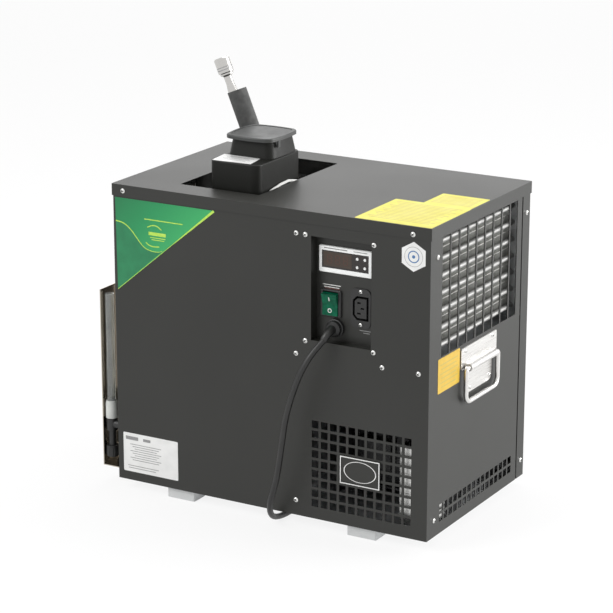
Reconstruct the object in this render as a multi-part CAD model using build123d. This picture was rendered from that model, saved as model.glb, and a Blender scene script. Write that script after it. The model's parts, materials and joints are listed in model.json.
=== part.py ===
from build123d import *
import math
import os

# Glycol chiller, in millimetres. While it is built, x = 0 and y = 0 are the middle of the cabinet, the
# front faces -y and z = 0 is the lower edge of the panels. save() moves it onto its feet and centres it.

# Cabinet
cabinet_width = 474.0
cabinet_depth = 289.0
cabinet_height = 415.0
sheet = 1.2
front_flange = 26.5
rear_flange = 21.5
panel_joint = 3.0
side_lip = 5.0
side_lap = 14.0
foot_height = 15.0
foot_length = 43.0
foot_depth = 28.0
foot_inset_side = 76.0
foot_inset_front = 4.5
clearance = 0.3

# Lid
lid_rim = 16.0
lid_overhang = 1.5
opening_from_left = 80.0
opening_from_front = 40.5
opening_width = 122.0
opening_depth = 209.0
opening_corner = 3.0

# Punched vents
hole_size = 10.0
hole_pitch = 13.6
front_grille_columns = 11
front_grille_rows = 9
front_grille_from_right = 23.5
front_grille_bottom = 17.0
side_grille_columns = 16
side_grille_rows = 2
side_grille_bottom = 16.0
slot_grille_bottom = 240.0
slot_grille_top = 397.0
slot_grille_from_front = 32.5
slot_grille_from_rear = 38.5
slot_grille_slots = 9
slot_bar = 3.6
rear_slot_length = 70.0
rear_slot_height = 5.0
rear_slot_pitch = 14.0
rear_slot_rows = 8
rear_slot_from_right = 45.0
rear_slot_bottom = 60.0

# Control bay, from the right and the lower edge of the front
bay_from_right = 83.5
bay_width = 87.5
bay_bottom = 244.5
bay_height = 138.5
bay_recess = 15.0
bay_flange = 9.0
bezel_width = 77.0
bezel_height = 35.2
bezel_thickness = 3.0
bezel_corner = 2.0
bezel_from_bay_left = 43.0
bezel_from_bay_top = 30.7
controller_width = 70.0
controller_height = 28.5
controller_depth = 58.0
window_width = 68.0
window_height = 23.0
window_recess = 1.0
button_radius = 1.9
button_proud = 0.5
button_travel = 0.8
button_spacing = 11.0
button_group_from_right = 11.0
switch_from_bay_left = 22.0
switch_from_bay_bottom = 49.3
switch_width = 30.0
switch_height = 36.0
switch_proud = 3.5
switch_depth = 20.0
rocker_width = 22.0
rocker_length = 29.0
rocker_tilt = 8.0
socket_from_bay_left = 65.0
socket_from_bay_bottom = 48.4
socket_flange_width = 29.0
socket_flange_height = 52.0
socket_flange_thickness = 1.5
socket_trench_width = 23.0
socket_trench_height = 32.0
socket_trench = 3.0
socket_trench_depth = 14.0
socket_depth = 22.0
gland_from_bay_left = 29.0
gland_from_bay_bottom = 17.5
gland_diameter = 24.0
gland_bore = 8.6
gland_length = 13.5

# Name plate on the front grille
plate_width = 59.0
plate_height = 38.5
plate_thickness = 1.5
plate_border = 2.2
plate_from_right = 68.0
plate_bottom = 57.5

# Bath
foam_inset = 7.0
foam_wall = 22.0
foam_top = 385.0
tank_gauge = 1.0
tank_bottom = 50.0
tank_corner = 14.0
tank_rim = 8.0
partition_from_left = 273.0
partition_flange = 15.0
evaporator_diameter = 8.0
evaporator_from_wall = 9.0
evaporator_runs = 5
evaporator_pitch = 50.0
evaporator_bottom = 90.0
line_height = 392.0

# Pump
pump_left = 119.0
pump_width = 76.0
pump_front = 48.5
pump_depth = 114.0
pump_corner = 12.0
pump_step = 36.0
tower_depth = 76.0
tower_top = 59.0
tower_taper = 4.0
cap_width = 76.5
cap_depth = 82.0
cap_thickness = 5.0
cap_bow = 4.0
cap_corner = 13.0
bracket_drop = 22.0
bracket_gauge = 1.6
bracket_depth = 60.0
bracket_lap = 12.0
casing_diameter = 40.0
casing_wall = 3.0
casing_bottom = 130.0
shaft_diameter = 6.0
impeller_diameter = 28.0

# Riser pipe, leaning to the left behind the pump
riser_diameter = 9.5
riser_behind_tower = 65.0
riser_lean = 22.7
riser_at_lid = 112.0
riser_start_height = 180.0
riser_bend_height = 335.0
riser_top = 555.0
foam_sleeve_diameter = 27.0
foam_sleeve_bottom = 398.0
foam_sleeve_top = 515.0
foam_sleeve_offset = 6.4
nut_diameter = 22.0
nut_length = 23.0
nut_bottom = 536.0
sensor_diameter = 4.0
sensor_drop_from_front = 123.0
sensor_bottom = 250.0

# Level tube and its guard on the left side
guard_reach = 33.0
guard_from_front = 10.5
guard_depth = 36.0
guard_bottom = 9.0
guard_top = 261.0
guard_tab = 14.0
guard_gauge = 1.2
gauge_reach = 22.5
gauge_from_front = 18.5
level_tube_diameter = 12.5
level_tube_wall = 1.5
level_tube_top = 255.0
tube_nut_diameter = 17.0
tube_nut_bottom = 78.0
tube_nut_top = 103.0
tee_diameter = 15.5
tee_arm_diameter = 12.0
tee_bottom = 38.0
tee_body_bottom = 60.0
drain_height = 69.0
drain_cap_bottom = 22.0
drain_cap_height = 14.0

# Drop handles
handle_centre_y = -5.0
handle_top_width = 104.0
handle_top_from = 206.0
handle_top_to = 235.0
handle_low_width = 78.0
handle_low_bottom = 171.0
handle_gauge = 1.5
barrel_diameter = 10.0
barrel_above_step = 2.0
bail_diameter = 6.3
bail_spread = 93.0
bail_drop = 46.0
bail_corner = 11.0
bail_entry = 12.0
bail_play = 0.35

# Cooling circuit
shelf_height = 232.0
shelf_flange = 16.0
base_flange = 14.0
tube_rows = 7
tube_pitch = 22.9
tube_first = 248.5
condenser_tube_diameter = 7.0
condenser_tube_behind = 13.0
condenser_from_front = 22.5
condenser_from_rear = 24.5
tube_tail = 32.0
end_plate = 1.5
fin_block_depth = 20.0
fin_thickness = 1.6
fin_pitch = 7.0
fin_groove_depth = 11.0
fin_margin = 6.0
fan_diameter = 142.0
fan_hub_diameter = 36.0
fan_blade_count = 5
fan_blade_pitch = 28.0
fan_tip_gap = 4.0
motor_width = 60.0
motor_height = 46.0
motor_length = 30.0
compressor_x = 120.0
compressor_y = 20.0
compressor_radius = 72.0
compressor_top = 172.0
mount_height = 14.8
mount_spread_x = 130.0
mount_spread_y = 84.0
line_diameter = 6.0
line_rise = 18.0
drier_diameter = 19.0
drier_length = 62.0
relay_box_width = 47.0
relay_box_height = 116.0
relay_box_depth = 38.0
relay_box_behind = 20.0

# Mains cord
cord_diameter = 8.0
relief_diameter = 13.0
coil_middle_diameter = 82.0
coil_width = 24.0
coil_height = 16.0
coil_centre = (-23.65, 207.6)
plug_diameter = 37.0
plug_body = 34.0
plug_sleeve = 28.0
pin_diameter = 4.8
pin_length = 19.0
pin_spacing = 19.0

left_x = -cabinet_width / 2
right_x = cabinet_width / 2
front_y = -cabinet_depth / 2
rear_y = cabinet_depth / 2
inner_left = left_x + sheet
inner_right = right_x - sheet
inner_front = front_y + sheet
inner_rear = rear_y - sheet
lid_top = cabinet_height
panel_top = lid_top - sheet
side_front = front_y + front_flange
side_rear = rear_y - rear_flange - panel_joint
opening_left = left_x + opening_from_left
opening_front = front_y + opening_from_front
partition_x = left_x + partition_from_left
bay_left = right_x - bay_from_right - bay_width
bay_right = right_x - bay_from_right
bay_top = bay_bottom + bay_height
tray_front = front_y + bay_recess
barrel_height = handle_top_from + barrel_above_step
bail_x = right_x + handle_gauge + barrel_diameter / 2
box_left = left_x - guard_reach
box_right = right_x + handle_gauge + barrel_diameter
frame_shift = -(box_left + box_right) / 2
condenser_front_y = front_y + condenser_from_front
condenser_rear_y = rear_y - condenser_from_rear
condenser_top = tube_first + (tube_rows - 1) * tube_pitch + fin_margin * 3
fan_height = (shelf_height + condenser_top) / 2
slot_grille_width = cabinet_depth - slot_grille_from_front - slot_grille_from_rear
slot_grille_centre_y = (slot_grille_from_front - slot_grille_from_rear) / 2

# The cord's free stretch, as points of the finished part's own frame (z = 0 is the floor)
cord_points = [
    (102.75, -158.5, 266.0),
    (94.15, -172.0, 252.2),
    (85.55, -180.0, 233.0),
    (75.75, -182.0, 210.2),
    (60.35, -181.0, 165.2),
    (53.75, -180.0, 122.5),
    (45.05, -179.0, 71.0),
    (31.25, -177.5, 31.0),
    (24.75, -151.0, 4.0),
    (28.75, -90.0, 4.0),
    (31.75, -15.0, 4.0),
    (31.25, 60.0, 4.0),
    (27.75, 120.0, 4.0),
    (21.05, 184.0, 4.0),
]


def block(x0, x1, y0, y1, z0, z1):
    """A box between two corners."""
    size = (x1 - x0, y1 - y0, z1 - z0)
    return Pos((x0 + x1) / 2, (y0 + y1) / 2, (z0 + z1) / 2) * Box(*size)


def rod(start, end, diameter):
    """A round bar from one point to another."""
    axis = Vector(*end) - Vector(*start)
    plane = Plane(origin=start, z_dir=axis)
    return extrude(plane * Circle(diameter / 2), axis.length)


def tube(points, radius, diameter):
    """A round bar along straight runs joined by tangent arcs."""
    path = FilletPolyline(*points, radius=radius)
    section = Plane(origin=path @ 0, z_dir=path % 0) * Circle(diameter / 2)
    return sweep(section, path=path)


def grid_holes(columns, rows):
    """Middles of a field of punched holes, from its lower left hole."""
    return [(c * hole_pitch, r * hole_pitch) for r in range(rows) for c in range(columns)]


def u_sheet(front, back, flange, outward):
    """A sheet across the cabinet whose sides are folded along the side walls."""
    web = block(left_x, right_x, front, back, 0, panel_top)
    for x0, x1 in ((left_x, inner_left), (inner_right, right_x)):
        if outward < 0:
            web += block(x0, x1, front, front + flange, 0, panel_top)
        else:
            web += block(x0, x1, back - flange, back, 0, panel_top)
    return web


def front_panel():
    panel = u_sheet(front_y, inner_front, front_flange, -1)
    first_x = right_x - front_grille_from_right - hole_size / 2 - (front_grille_columns - 1) * hole_pitch
    first_z = front_grille_bottom + hole_size / 2
    cutter = Box(hole_size, 4 * sheet, hole_size)
    for dx, dz in grid_holes(front_grille_columns, front_grille_rows):
        panel -= Pos(first_x + dx, front_y, first_z + dz) * cutter
    panel -= block(bay_left, bay_right, front_y - 1, inner_front + 1, bay_bottom, bay_top)
    return panel - drain_hole()


def rear_panel():
    panel = u_sheet(inner_rear, rear_y, rear_flange, 1)
    x1 = right_x - rear_slot_from_right
    for row in range(rear_slot_rows):
        z0 = rear_slot_bottom + row * rear_slot_pitch
        panel -= block(x1 - rear_slot_length, x1, inner_rear - 1, rear_y + 1, z0, z0 + rear_slot_height)
    return panel


def side_panel():
    """The right wall between the two folded sheets: a lip under the front fold, returns beside the rear one."""
    wall = block(inner_right, right_x, side_front, side_rear, 0, panel_top)
    low, high = base_flange + 1, panel_top - 5
    wall += block(inner_right - sheet, inner_right, side_front - side_lap, side_front + sheet, low, high)
    wall += block(right_x - side_lip, right_x, side_rear - sheet, side_rear, low, high)
    return wall


def left_panel():
    return mirror(side_panel(), about=Plane.YZ) - drain_hole()


def drain_hole():
    """The drain's way through the left wall."""
    y = front_y + gauge_from_front
    return rod((left_x - 5, y, drain_height), (inner_left + 5, y, drain_height), tee_arm_diameter + 2 * clearance)


def right_panel():
    panel = side_panel()
    slot = (slot_grille_width - (slot_grille_slots - 1) * slot_bar) / slot_grille_slots
    first = slot_grille_centre_y - slot_grille_width / 2
    for n in range(slot_grille_slots):
        y0 = first + n * (slot + slot_bar)
        panel -= block(inner_right - 1, right_x + 1, y0, y0 + slot, slot_grille_bottom, slot_grille_top)
    width = (side_grille_columns - 1) * hole_pitch
    for dy, dz in grid_holes(side_grille_columns, side_grille_rows):
        place = Pos(right_x, slot_grille_centre_y - width / 2 + dy, side_grille_bottom + hole_size / 2 + dz)
        panel -= place * Box(4 * sheet, hole_size, hole_size)
    return panel


def lid():
    x1 = right_x + lid_overhang
    y1 = rear_y + lid_overhang
    cover = block(-x1, x1, -y1, y1, lid_top - lid_rim, lid_top)
    cover -= block(-x1 + sheet, x1 - sheet, -y1 + sheet, y1 - sheet, lid_top - lid_rim - 1, panel_top)
    cover = fillet(cover.edges().filter_by(Axis.Z).group_by(SortBy.LENGTH)[-1], 0.8)
    hole = RectangleRounded(opening_width, opening_depth, opening_corner)
    middle = Pos(opening_left + opening_width / 2, opening_front + opening_depth / 2, panel_top - 1)
    return cover - extrude(middle * hole, sheet + 2)


def base_pan():
    pan = block(inner_left, inner_right, inner_front, inner_rear, 0, base_flange)
    inside = block(inner_left + sheet, inner_right - sheet, inner_front + sheet, inner_rear - sheet, sheet, base_flange + 1)
    return pan - inside


def feet():
    pads = []
    for side in (-1, 1):
        x = side * (right_x - foot_inset_side - foot_length / 2)
        for end in (-1, 1):
            y = end * (rear_y - foot_inset_front - foot_depth / 2)
            pad = Pos(x, y, -foot_height / 2) * Box(foot_length, foot_depth, foot_height)
            pads.append(fillet(pad.edges().filter_by(Axis.Z), 2.0))
    return pads


def name_plate():
    x1 = right_x - plate_from_right
    plate = block(x1 - plate_width, x1, front_y - plate_thickness, front_y, plate_bottom, plate_bottom + plate_height)
    field = block(x1 - plate_width + plate_border, x1 - plate_border, front_y - plate_thickness - 1,
                  front_y - plate_thickness / 2, plate_bottom + plate_border,
                  plate_bottom + plate_height - plate_border)
    return plate - field


# Control bay
def bezel_place():
    return bay_left + bezel_from_bay_left, bay_top - bezel_from_bay_top


def switch_place():
    return bay_left + switch_from_bay_left, bay_bottom + switch_from_bay_bottom


def socket_place():
    return bay_left + socket_from_bay_left, bay_bottom + socket_from_bay_bottom


def gland_place():
    return bay_left + gland_from_bay_left, bay_bottom + gland_from_bay_bottom


def control_tray():
    """The recessed tray: a flange behind the panel, four walls and a floor that carries the controls."""
    tray = block(bay_left - sheet, bay_right + sheet, inner_front, tray_front + sheet, bay_bottom - sheet, bay_top + sheet)
    tray += block(bay_left - 14.0, bay_right + bay_flange, inner_front, inner_front + sheet,
                  bay_bottom - bay_flange, bay_top + bay_flange)
    tray -= block(bay_left, bay_right, inner_front - 1, tray_front, bay_bottom, bay_top)
    x, z = bezel_place()
    tray -= Pos(x, tray_front, z) * Box(controller_width + 2 * clearance, 6 * sheet, controller_height + 2 * clearance)
    x, z = switch_place()
    tray -= Pos(x, tray_front, z) * Box(switch_width - 2 + 2 * clearance, 6 * sheet, switch_height - 2 + 2 * clearance)
    x, z = socket_place()
    tray -= Pos(x, tray_front, z) * Box(socket_trench_width + 2 + 2 * clearance, 6 * sheet,
                                        socket_trench_height + 2 + 2 * clearance)
    x, z = gland_place()
    return tray - rod((x, tray_front - 3, z), (x, tray_front + 3 * sheet, z), gland_diameter * 0.66 + 2 * clearance)


def button_places():
    x, z = bezel_place()
    right = x + window_width / 2 - button_group_from_right
    half = button_spacing / 2
    return [(right - half + dx, z + dz) for dz in (half, -half) for dx in (0, button_spacing)]


def face_y():
    """The controller's front face."""
    return tray_front - bezel_thickness


def controller_body():
    x, z = bezel_place()
    plate = RectangleRounded(bezel_width, bezel_height, bezel_corner)
    body = Pos(x, tray_front, z) * Rot(90, 0, 0) * extrude(plate, bezel_thickness)
    body = chamfer(body.faces().sort_by(Axis.Y)[0].edges(), 0.8)
    body += block(x - controller_width / 2, x + controller_width / 2, tray_front, tray_front + controller_depth,
                  z - controller_height / 2, z + controller_height / 2)
    body -= Pos(x, face_y(), z) * Box(window_width, 2 * window_recess, window_height)
    for bx, bz in button_places():
        body -= rod((bx, face_y(), bz), (bx, tray_front + 1, bz), 2 * button_radius + 2 * clearance)
    return body


def controller_window():
    x, z = bezel_place()
    pane = Pos(x, face_y() + window_recess / 2, z) * Box(window_width, window_recess, window_height)
    for bx, bz in button_places():
        pane -= rod((bx, face_y() - 1, bz), (bx, face_y() + 3, bz), 2 * button_radius + 2 * clearance)
    return pane


def button(index):
    x, z = button_places()[index]
    front = face_y() - button_proud
    key = rod((x, tray_front + 1 - button_travel - clearance, z), (x, front, z), 2 * button_radius)
    return fillet(key.faces().sort_by(Axis.Y)[0].edges(), 0.3)


def rocker_pivot():
    x, z = switch_place()
    return x, tray_front + 1.0, z


def switch_frame():
    """Bezel and body of the switch, hollow where the rocker tips."""
    x, z = switch_place()
    y = tray_front
    rim = RectangleRounded(switch_width, switch_height, 2.0)
    frame = Pos(x, y, z) * Rot(90, 0, 0) * extrude(rim, switch_proud)
    frame = chamfer(frame.faces().sort_by(Axis.Y)[0].edges(), 1.0)
    frame += block(x - switch_width / 2 + 1, x + switch_width / 2 - 1, y, y + switch_depth,
                   z - switch_height / 2 + 1, z + switch_height / 2 - 1)
    half = rocker_length / 2 + 1.7
    pocket = rocker_width / 2 + clearance
    return frame - block(x - pocket, x + pocket, y - switch_proud - 1, y + 12, z - half, z + half)


def switch_rocker():
    """The rocker, tipped to one end of its travel: two front faces in a shallow valley, a round back."""
    x, y, z = rocker_pivot()
    half = rocker_length / 2
    outline = Polyline((-8.5, -half), (-6.2, 0), (-8.5, half), (0, half), (7, 6), (7, -6), (0, -half), close=True)
    face = Plane(origin=(x - rocker_width / 2, y, z), x_dir=(0, 1, 0), z_dir=(1, 0, 0)) * make_face(outline)
    paddle = extrude(face, rocker_width)
    paddle = fillet(paddle.faces().filter_by(Axis.X).edges(), 0.5)
    return paddle.rotate(Axis((x, y, z), (1, 0, 0)), rocker_tilt)


def outlet_socket():
    """Appliance outlet: flange, a bevelled trench round the contact block, three contact slots."""
    x, z = socket_place()
    y = tray_front
    stand = Pos(x, y, z) * Rot(90, 0, 0)
    flange = extrude(stand * RectangleRounded(socket_flange_width, socket_flange_height, 8.0), socket_flange_thickness)
    body = block(x - socket_trench_width / 2 - 1, x + socket_trench_width / 2 + 1, y, y + socket_depth,
                 z - socket_trench_height / 2 - 1, z + socket_trench_height / 2 + 1)
    outer = socket_outline(socket_trench_width, socket_trench_height, 6.0)
    inner = socket_outline(socket_trench_width - 2 * socket_trench, socket_trench_height - 2 * socket_trench, 4.0)
    trench = extrude(stand * (outer - inner), socket_trench_depth, both=True)
    piece = flange + body - trench
    for dx, dz in ((-2.5, 7.0), (2.5, 0.0), (-2.5, -7.0)):
        slot = Pos(x + dx, y, z + dz) * Box(5.0, 2 * socket_trench_depth, 2.2)
        piece -= slot
    return piece


def socket_outline(width, height, bevel):
    """A rectangle whose two left corners are cut off."""
    w, h = width / 2, height / 2
    points = [(-w, -h + bevel), (-w + bevel, -h), (w, -h), (w, h), (-w + bevel, h), (-w, h - bevel)]
    return make_face(Polyline(*points, close=True))


def cable_gland():
    """Hexagon, domed clamping nut and rear nut, with the cord's bore."""
    x, z = gland_place()
    r = gland_diameter / 2
    shank = gland_diameter * 0.33
    profile = Polyline((gland_bore / 2, -8), (shank, -8), (shank, 0), (r, 0), (r, 4.5), (r - 1.2, 5.0),
                       (r - 1.6, gland_length - 3.5), (r - 4.5, gland_length), (gland_bore / 2, gland_length),
                       close=True)
    body = revolve(Plane.XZ * make_face(profile), Axis.Z)
    nut = extrude(Pos(0, 0, -sheet - 4.5) * RegularPolygon(r, 6), 4.5)
    nut -= Cylinder(gland_bore / 2, 40)
    return Pos(x, tray_front, z) * Rot(90, 0, 0) * (body + nut)


def relief_stations():
    """Where the strain relief's sections lie, from the gland to the cord, in the cabinet's frame."""
    x, z = gland_place()
    tip = Vector(*cord_points[0]) - Vector(frame_shift, 0, foot_height)
    start = Vector(x, tray_front - gland_length, z)
    aim = (Vector(*cord_points[1]) - Vector(*cord_points[0])).normalized()
    reach = (tip - start).length
    middle = (start + Vector(0, -reach * 0.45, 0) + tip - aim * (reach * 0.45)) * 0.5
    return [(start, Vector(0, -1, 0)), (middle, (tip - start).normalized()), (tip, aim)]


def strain_relief():
    """Tapered rubber sleeve that bends down from the gland to the cord."""
    radii = (relief_diameter / 2, relief_diameter * 0.42, cord_diameter / 2 + 0.9)
    sections = []
    for (origin, direction), radius in zip(relief_stations(), radii):
        sections.append(Plane(origin=origin, x_dir=(1, 0, 0), z_dir=direction) * Circle(radius))
    return loft(sections)


# Bath
def foam_box():
    """Limits of the foam block: x0, x1, y0, y1."""
    return inner_left + foam_inset, partition_x, inner_front + foam_inset, inner_rear - foam_inset


def tank_block(grow, bottom, top):
    """The tank's rounded outline, grown outwards."""
    x0, x1, y0, y1 = foam_box()
    width = x1 - x0 - 2 * foam_wall + 2 * grow
    depth = y1 - y0 - 2 * foam_wall + 2 * grow
    outline = RectangleRounded(width, depth, tank_corner + grow)
    return extrude(Pos((x0 + x1) / 2, (y0 + y1) / 2, bottom) * outline, top - bottom)


def tank_front():
    return foam_box()[2] + foam_wall


def drain_points():
    """The drain's path from the tank's front wall out to the tee on the left."""
    gauge_y = front_y + gauge_from_front
    turn_x = foam_box()[0] + foam_wall + 18
    start = (turn_x, tank_front() - clearance, drain_height)
    corner = (turn_x, gauge_y, drain_height)
    return start, corner, (left_x - clearance, gauge_y, drain_height)


def drain_path(diameter):
    start, corner, end = drain_points()
    return tube([start, corner, end], (start[1] - corner[1]) * 0.8, diameter)


def tank():
    shell = tank_block(0, tank_bottom, foam_top + tank_gauge)
    shell += tank_block(tank_rim, foam_top, foam_top + tank_gauge)
    shell -= tank_block(-tank_gauge, tank_bottom + tank_gauge, foam_top + 2)
    x, y, z = drain_points()[0]
    return shell - rod((x, y - 2, z), (x, y + 4, z), tee_arm_diameter - 3)


def tank_insulation():
    x0, x1, y0, y1 = foam_box()
    foam = block(x0, x1, y0, y1, sheet, foam_top)
    foam -= tank_block(clearance, tank_bottom, foam_top + 1)
    x, y, z = drain_points()[0]
    way = tee_arm_diameter + 2 * clearance
    return foam - drain_path(way) - rod((x, y - 1, z), (x, y + 2, z), way)


def drain_pipe():
    return drain_path(tee_arm_diameter)


def partition():
    """Wall between bath and machine room, folded at both ends, with notches for the two lines."""
    top = panel_top
    wall = block(partition_x, partition_x + sheet, inner_front + sheet, inner_rear - sheet, sheet, top)
    for y0, y1 in ((inner_front, inner_front + sheet), (inner_rear - sheet, inner_rear)):
        wall += block(partition_x, partition_x + partition_flange, y0, y1, base_flange, top)
    notch = evaporator_diameter + 2 * clearance
    for y in line_sides():
        wall -= Pos(partition_x, y, line_height) * Rot(0, 90, 0) * Cylinder(notch / 2, 10)
        wall -= block(partition_x - 1, partition_x + 3, y - notch / 2, y + notch / 2, line_height, top + 1)
    x, y, z = sensor_start()
    return wall - rod((x - 30, y, z), (x, y, z), sensor_diameter + 2 * clearance)


def line_sides():
    """Where the evaporator's two ends cross the partition."""
    y0, y1 = foam_box()[2:]
    inset = foam_wall + 16
    return y0 + inset, y1 - inset


def evaporator_end_x():
    return partition_x + 24


def evaporator_coil():
    """Serpentine that hangs along the tank's right wall; both ends rise over the rim."""
    x = partition_x - foam_wall - evaporator_from_wall - evaporator_diameter / 2
    y0, y1 = line_sides()
    inner = y0 + 26
    points = [(evaporator_end_x(), y0, line_height), (x, y0, line_height), (x, y0, evaporator_bottom)]
    z = evaporator_bottom
    for run in range(evaporator_runs):
        far = y1 if run % 2 == 0 else inner
        points.append((x, far, z))
        if run < evaporator_runs - 1:
            z += evaporator_pitch
            points.append((x, far, z))
    points += [(x, y1, line_height), (evaporator_end_x(), y1, line_height)]
    radii = [12.0] + [evaporator_pitch * 0.4] * (len(points) - 4) + [12.0]
    return tube(points, radii, evaporator_diameter)


# Pump
def pump_middle_x():
    return left_x + pump_left + pump_width / 2


def pump_rear():
    return front_y + pump_front + pump_depth


def pump_floor():
    return panel_top - bracket_drop


def tower_middle_y():
    return pump_rear() - tower_depth / 2


def pump_housing():
    """Moulded motor housing: a low box with a narrow ledge and a tapered tower on its rear part."""
    x = pump_middle_x()
    y = pump_rear() - pump_depth / 2
    step = lid_top + pump_step
    low = extrude(Pos(x, y, pump_floor()) * RectangleRounded(pump_width, pump_depth, pump_corner), step - pump_floor())
    low = fillet(low.faces().sort_by(Axis.Z)[-1].edges(), 1.5)
    foot = bowed(pump_width - 4, tower_depth - 2, 2.0, pump_corner)
    head = bowed(pump_width - 4 - 2 * tower_taper, tower_depth - 2 - 2 * tower_taper, 2.0, pump_corner)
    y = tower_middle_y()
    tower = loft([Pos(x, y, step - 1) * foot, Pos(x, y, lid_top + tower_top) * head])
    body = low + tower
    return body - Pos(x, y, pump_floor()) * Cylinder(shaft_diameter / 2 + clearance, 60)


def bowed(width, depth, bow, corner):
    """A rounded rectangle whose four sides swell outwards."""
    w, d = width / 2, depth / 2
    corners = [(-w + bow, -d + bow), (w - bow, -d + bow), (w - bow, d - bow), (-w + bow, d - bow)]
    middles = [(0, -d), (w, 0), (0, d), (-w, 0)]
    sides = [ThreePointArc(corners[n], middles[n], corners[(n + 1) % 4]) for n in range(4)]
    face = make_face(sides)
    return fillet(face.vertices(), corner)


def pump_cap():
    """Snap cap with a rolled edge and its small latch on the right."""
    x, y = pump_middle_x(), tower_middle_y() - 2.5
    base = lid_top + tower_top
    plate = extrude(Pos(x, y, base) * bowed(cap_width, cap_depth, cap_bow, cap_corner), cap_thickness)
    plate = fillet(plate.faces().sort_by(Axis.Z)[-1].edges(), 1.6)
    dish = extrude(Pos(x, y, base + cap_thickness - 0.6) * bowed(cap_width - 9, cap_depth - 9, cap_bow, cap_corner - 3), 5)
    x1 = x + cap_width / 2 - 2.0
    latch = block(x1 - 1.5, x1 + 1.0, y - 19, y - 14, base - 9, base + 1)
    return plate - dish + latch


def pump_bracket():
    """Folded strap across the opening that hangs the pump under the lid."""
    z = pump_floor()
    x0, x1 = opening_left - 10, opening_left + opening_width + 10
    y = tower_middle_y()
    y0, y1 = y - bracket_depth / 2, y + bracket_depth / 2
    strap = block(x0, x1, y0, y1, z - bracket_gauge, z)
    for a, b, c in ((x0, x0 + bracket_gauge, x0 - bracket_lap), (x1 - bracket_gauge, x1, x1 + bracket_lap)):
        strap += block(a, b, y0, y1, z - bracket_gauge, panel_top)
        strap += block(min(a, c), max(b, c), y0, y1, panel_top - bracket_gauge, panel_top)
    return strap - Pos(pump_middle_x(), y, z) * Cylinder(casing_diameter / 2 - casing_wall, 10)


def pump_casing():
    """Draught tube under the bracket, with intake windows and the riser's stub."""
    x, y = pump_middle_x(), tower_middle_y()
    top = pump_floor() - bracket_gauge
    r = casing_diameter / 2
    body = Pos(x, y, 0) * extrude(Pos(0, 0, casing_bottom) * Circle(r), top - casing_bottom)
    body += extrude(Pos(x, y, top - 3) * Circle(r + 10), 3)
    body += rod((riser_foot_x(), y, riser_start_height), (riser_foot_x(), y + r + 10, riser_start_height), riser_diameter + 5)
    body -= extrude(Pos(x, y, casing_bottom - 1) * Circle(r - casing_wall), top - casing_bottom + 2)
    for z in (casing_bottom + 60, top - 60):
        body -= Pos(x, y, z) * Box(casing_diameter + 20, 14, 30)
    return body


def pump_shaft():
    """Motor shaft with the propeller at its lower end."""
    x, y = pump_middle_x(), tower_middle_y()
    low = casing_bottom + 8
    shaft = rod((x, y, low), (x, y, pump_floor() + 25), shaft_diameter)
    shaft += rod((x, y, low), (x, y, low + 12), shaft_diameter + 5)
    blade = Pos(0, impeller_diameter / 4, 0) * Rot(0, 30, 0) * Box(9, impeller_diameter / 2 - 1, 1.6)
    for n in range(3):
        shaft += Pos(x, y, low + 6) * Rot(0, 0, n * 120) * blade
    return shaft


# Riser pipe
def lean(height):
    """How far left of its place at the lid the leaning pipe is at a height."""
    return (height - lid_top) * math.tan(math.radians(riser_lean))


def riser_x(height):
    return left_x + riser_at_lid - lean(height)


def riser_foot_x():
    return riser_x(riser_bend_height)


def riser_y():
    return tower_middle_y() + riser_behind_tower


def riser_pipe():
    x = riser_foot_x()
    start = tower_middle_y() + casing_diameter / 2 + 10
    points = [(x, start, riser_start_height), (x, riser_y(), riser_start_height), (x, riser_y(), riser_bend_height),
              (riser_x(riser_top), riser_y(), riser_top)]
    return tube(points, 15.0, riser_diameter)


def on_riser(height, offset=0.0):
    return riser_x(height) + offset, riser_y(), height


def pipe_insulation():
    """Closed-cell foam sleeve; the pipe runs near its left side."""
    shift = foam_sleeve_offset / math.cos(math.radians(riser_lean))
    sleeve = rod(on_riser(foam_sleeve_bottom, shift), on_riser(foam_sleeve_top, shift), foam_sleeve_diameter)
    return sleeve - rod(on_riser(foam_sleeve_bottom - 20), on_riser(foam_sleeve_top + 20), riser_diameter + 2 * clearance)


def union_nut():
    """Round union nut on the pipe's end, with two grooves and a shallow mouth."""
    r = nut_diameter / 2
    bore = riser_diameter / 2 + clearance
    collar = 3.2
    mouth = 2.0
    points = [(bore, 0), (r - 3, 0), (r, 2), (r, 5), (r - 0.8, 5), (r - 0.8, 6.2), (r, 6.2), (r, 6.2 + collar),
              (r - 0.8, 6.2 + collar), (r - 0.8, 7.4 + collar), (r, 7.4 + collar), (r, nut_length - 1.5),
              (r - 1.5, nut_length), (bore + 1.5, nut_length), (bore + 1.5, nut_length - mouth), (bore, nut_length - mouth)]
    body = revolve(Plane.XZ * make_face(Polyline(*points, close=True)), Axis.Z)
    place = Plane(origin=on_riser(nut_bottom), x_dir=(0, 1, 0), z_dir=(-math.tan(math.radians(riser_lean)), 0, 1))
    return place * body


def sensor_start():
    """The sensor tube's end in the machine room."""
    return partition_x + 20, opening_front + 14, panel_top - 10


def sensor_tube():
    """Pale capillary of the bath's temperature sensor: under the lid, over the edge, down into the bath."""
    x = opening_left + opening_width - 3.6
    z = panel_top - sensor_diameter / 2
    y = opening_front
    start = sensor_start()
    drop = y + sensor_drop_from_front
    points = [start, (x + 14, start[1], start[2]), (x - 0.4, y + 34, z), (x - 0.4, y + 60, z + 4),
              (x - 0.4, y + 82, z + 5), (x - 0.4, drop - 18, z), (x, drop - 3, z - 14), (x, drop, sensor_bottom)]
    return tube(points, [8.0, 10.0, 16.0, 16.0, 10.0, 10.0], sensor_diameter)


# Level tube
def gauge_axis(z):
    return left_x - gauge_reach, front_y + gauge_from_front, z


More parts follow.
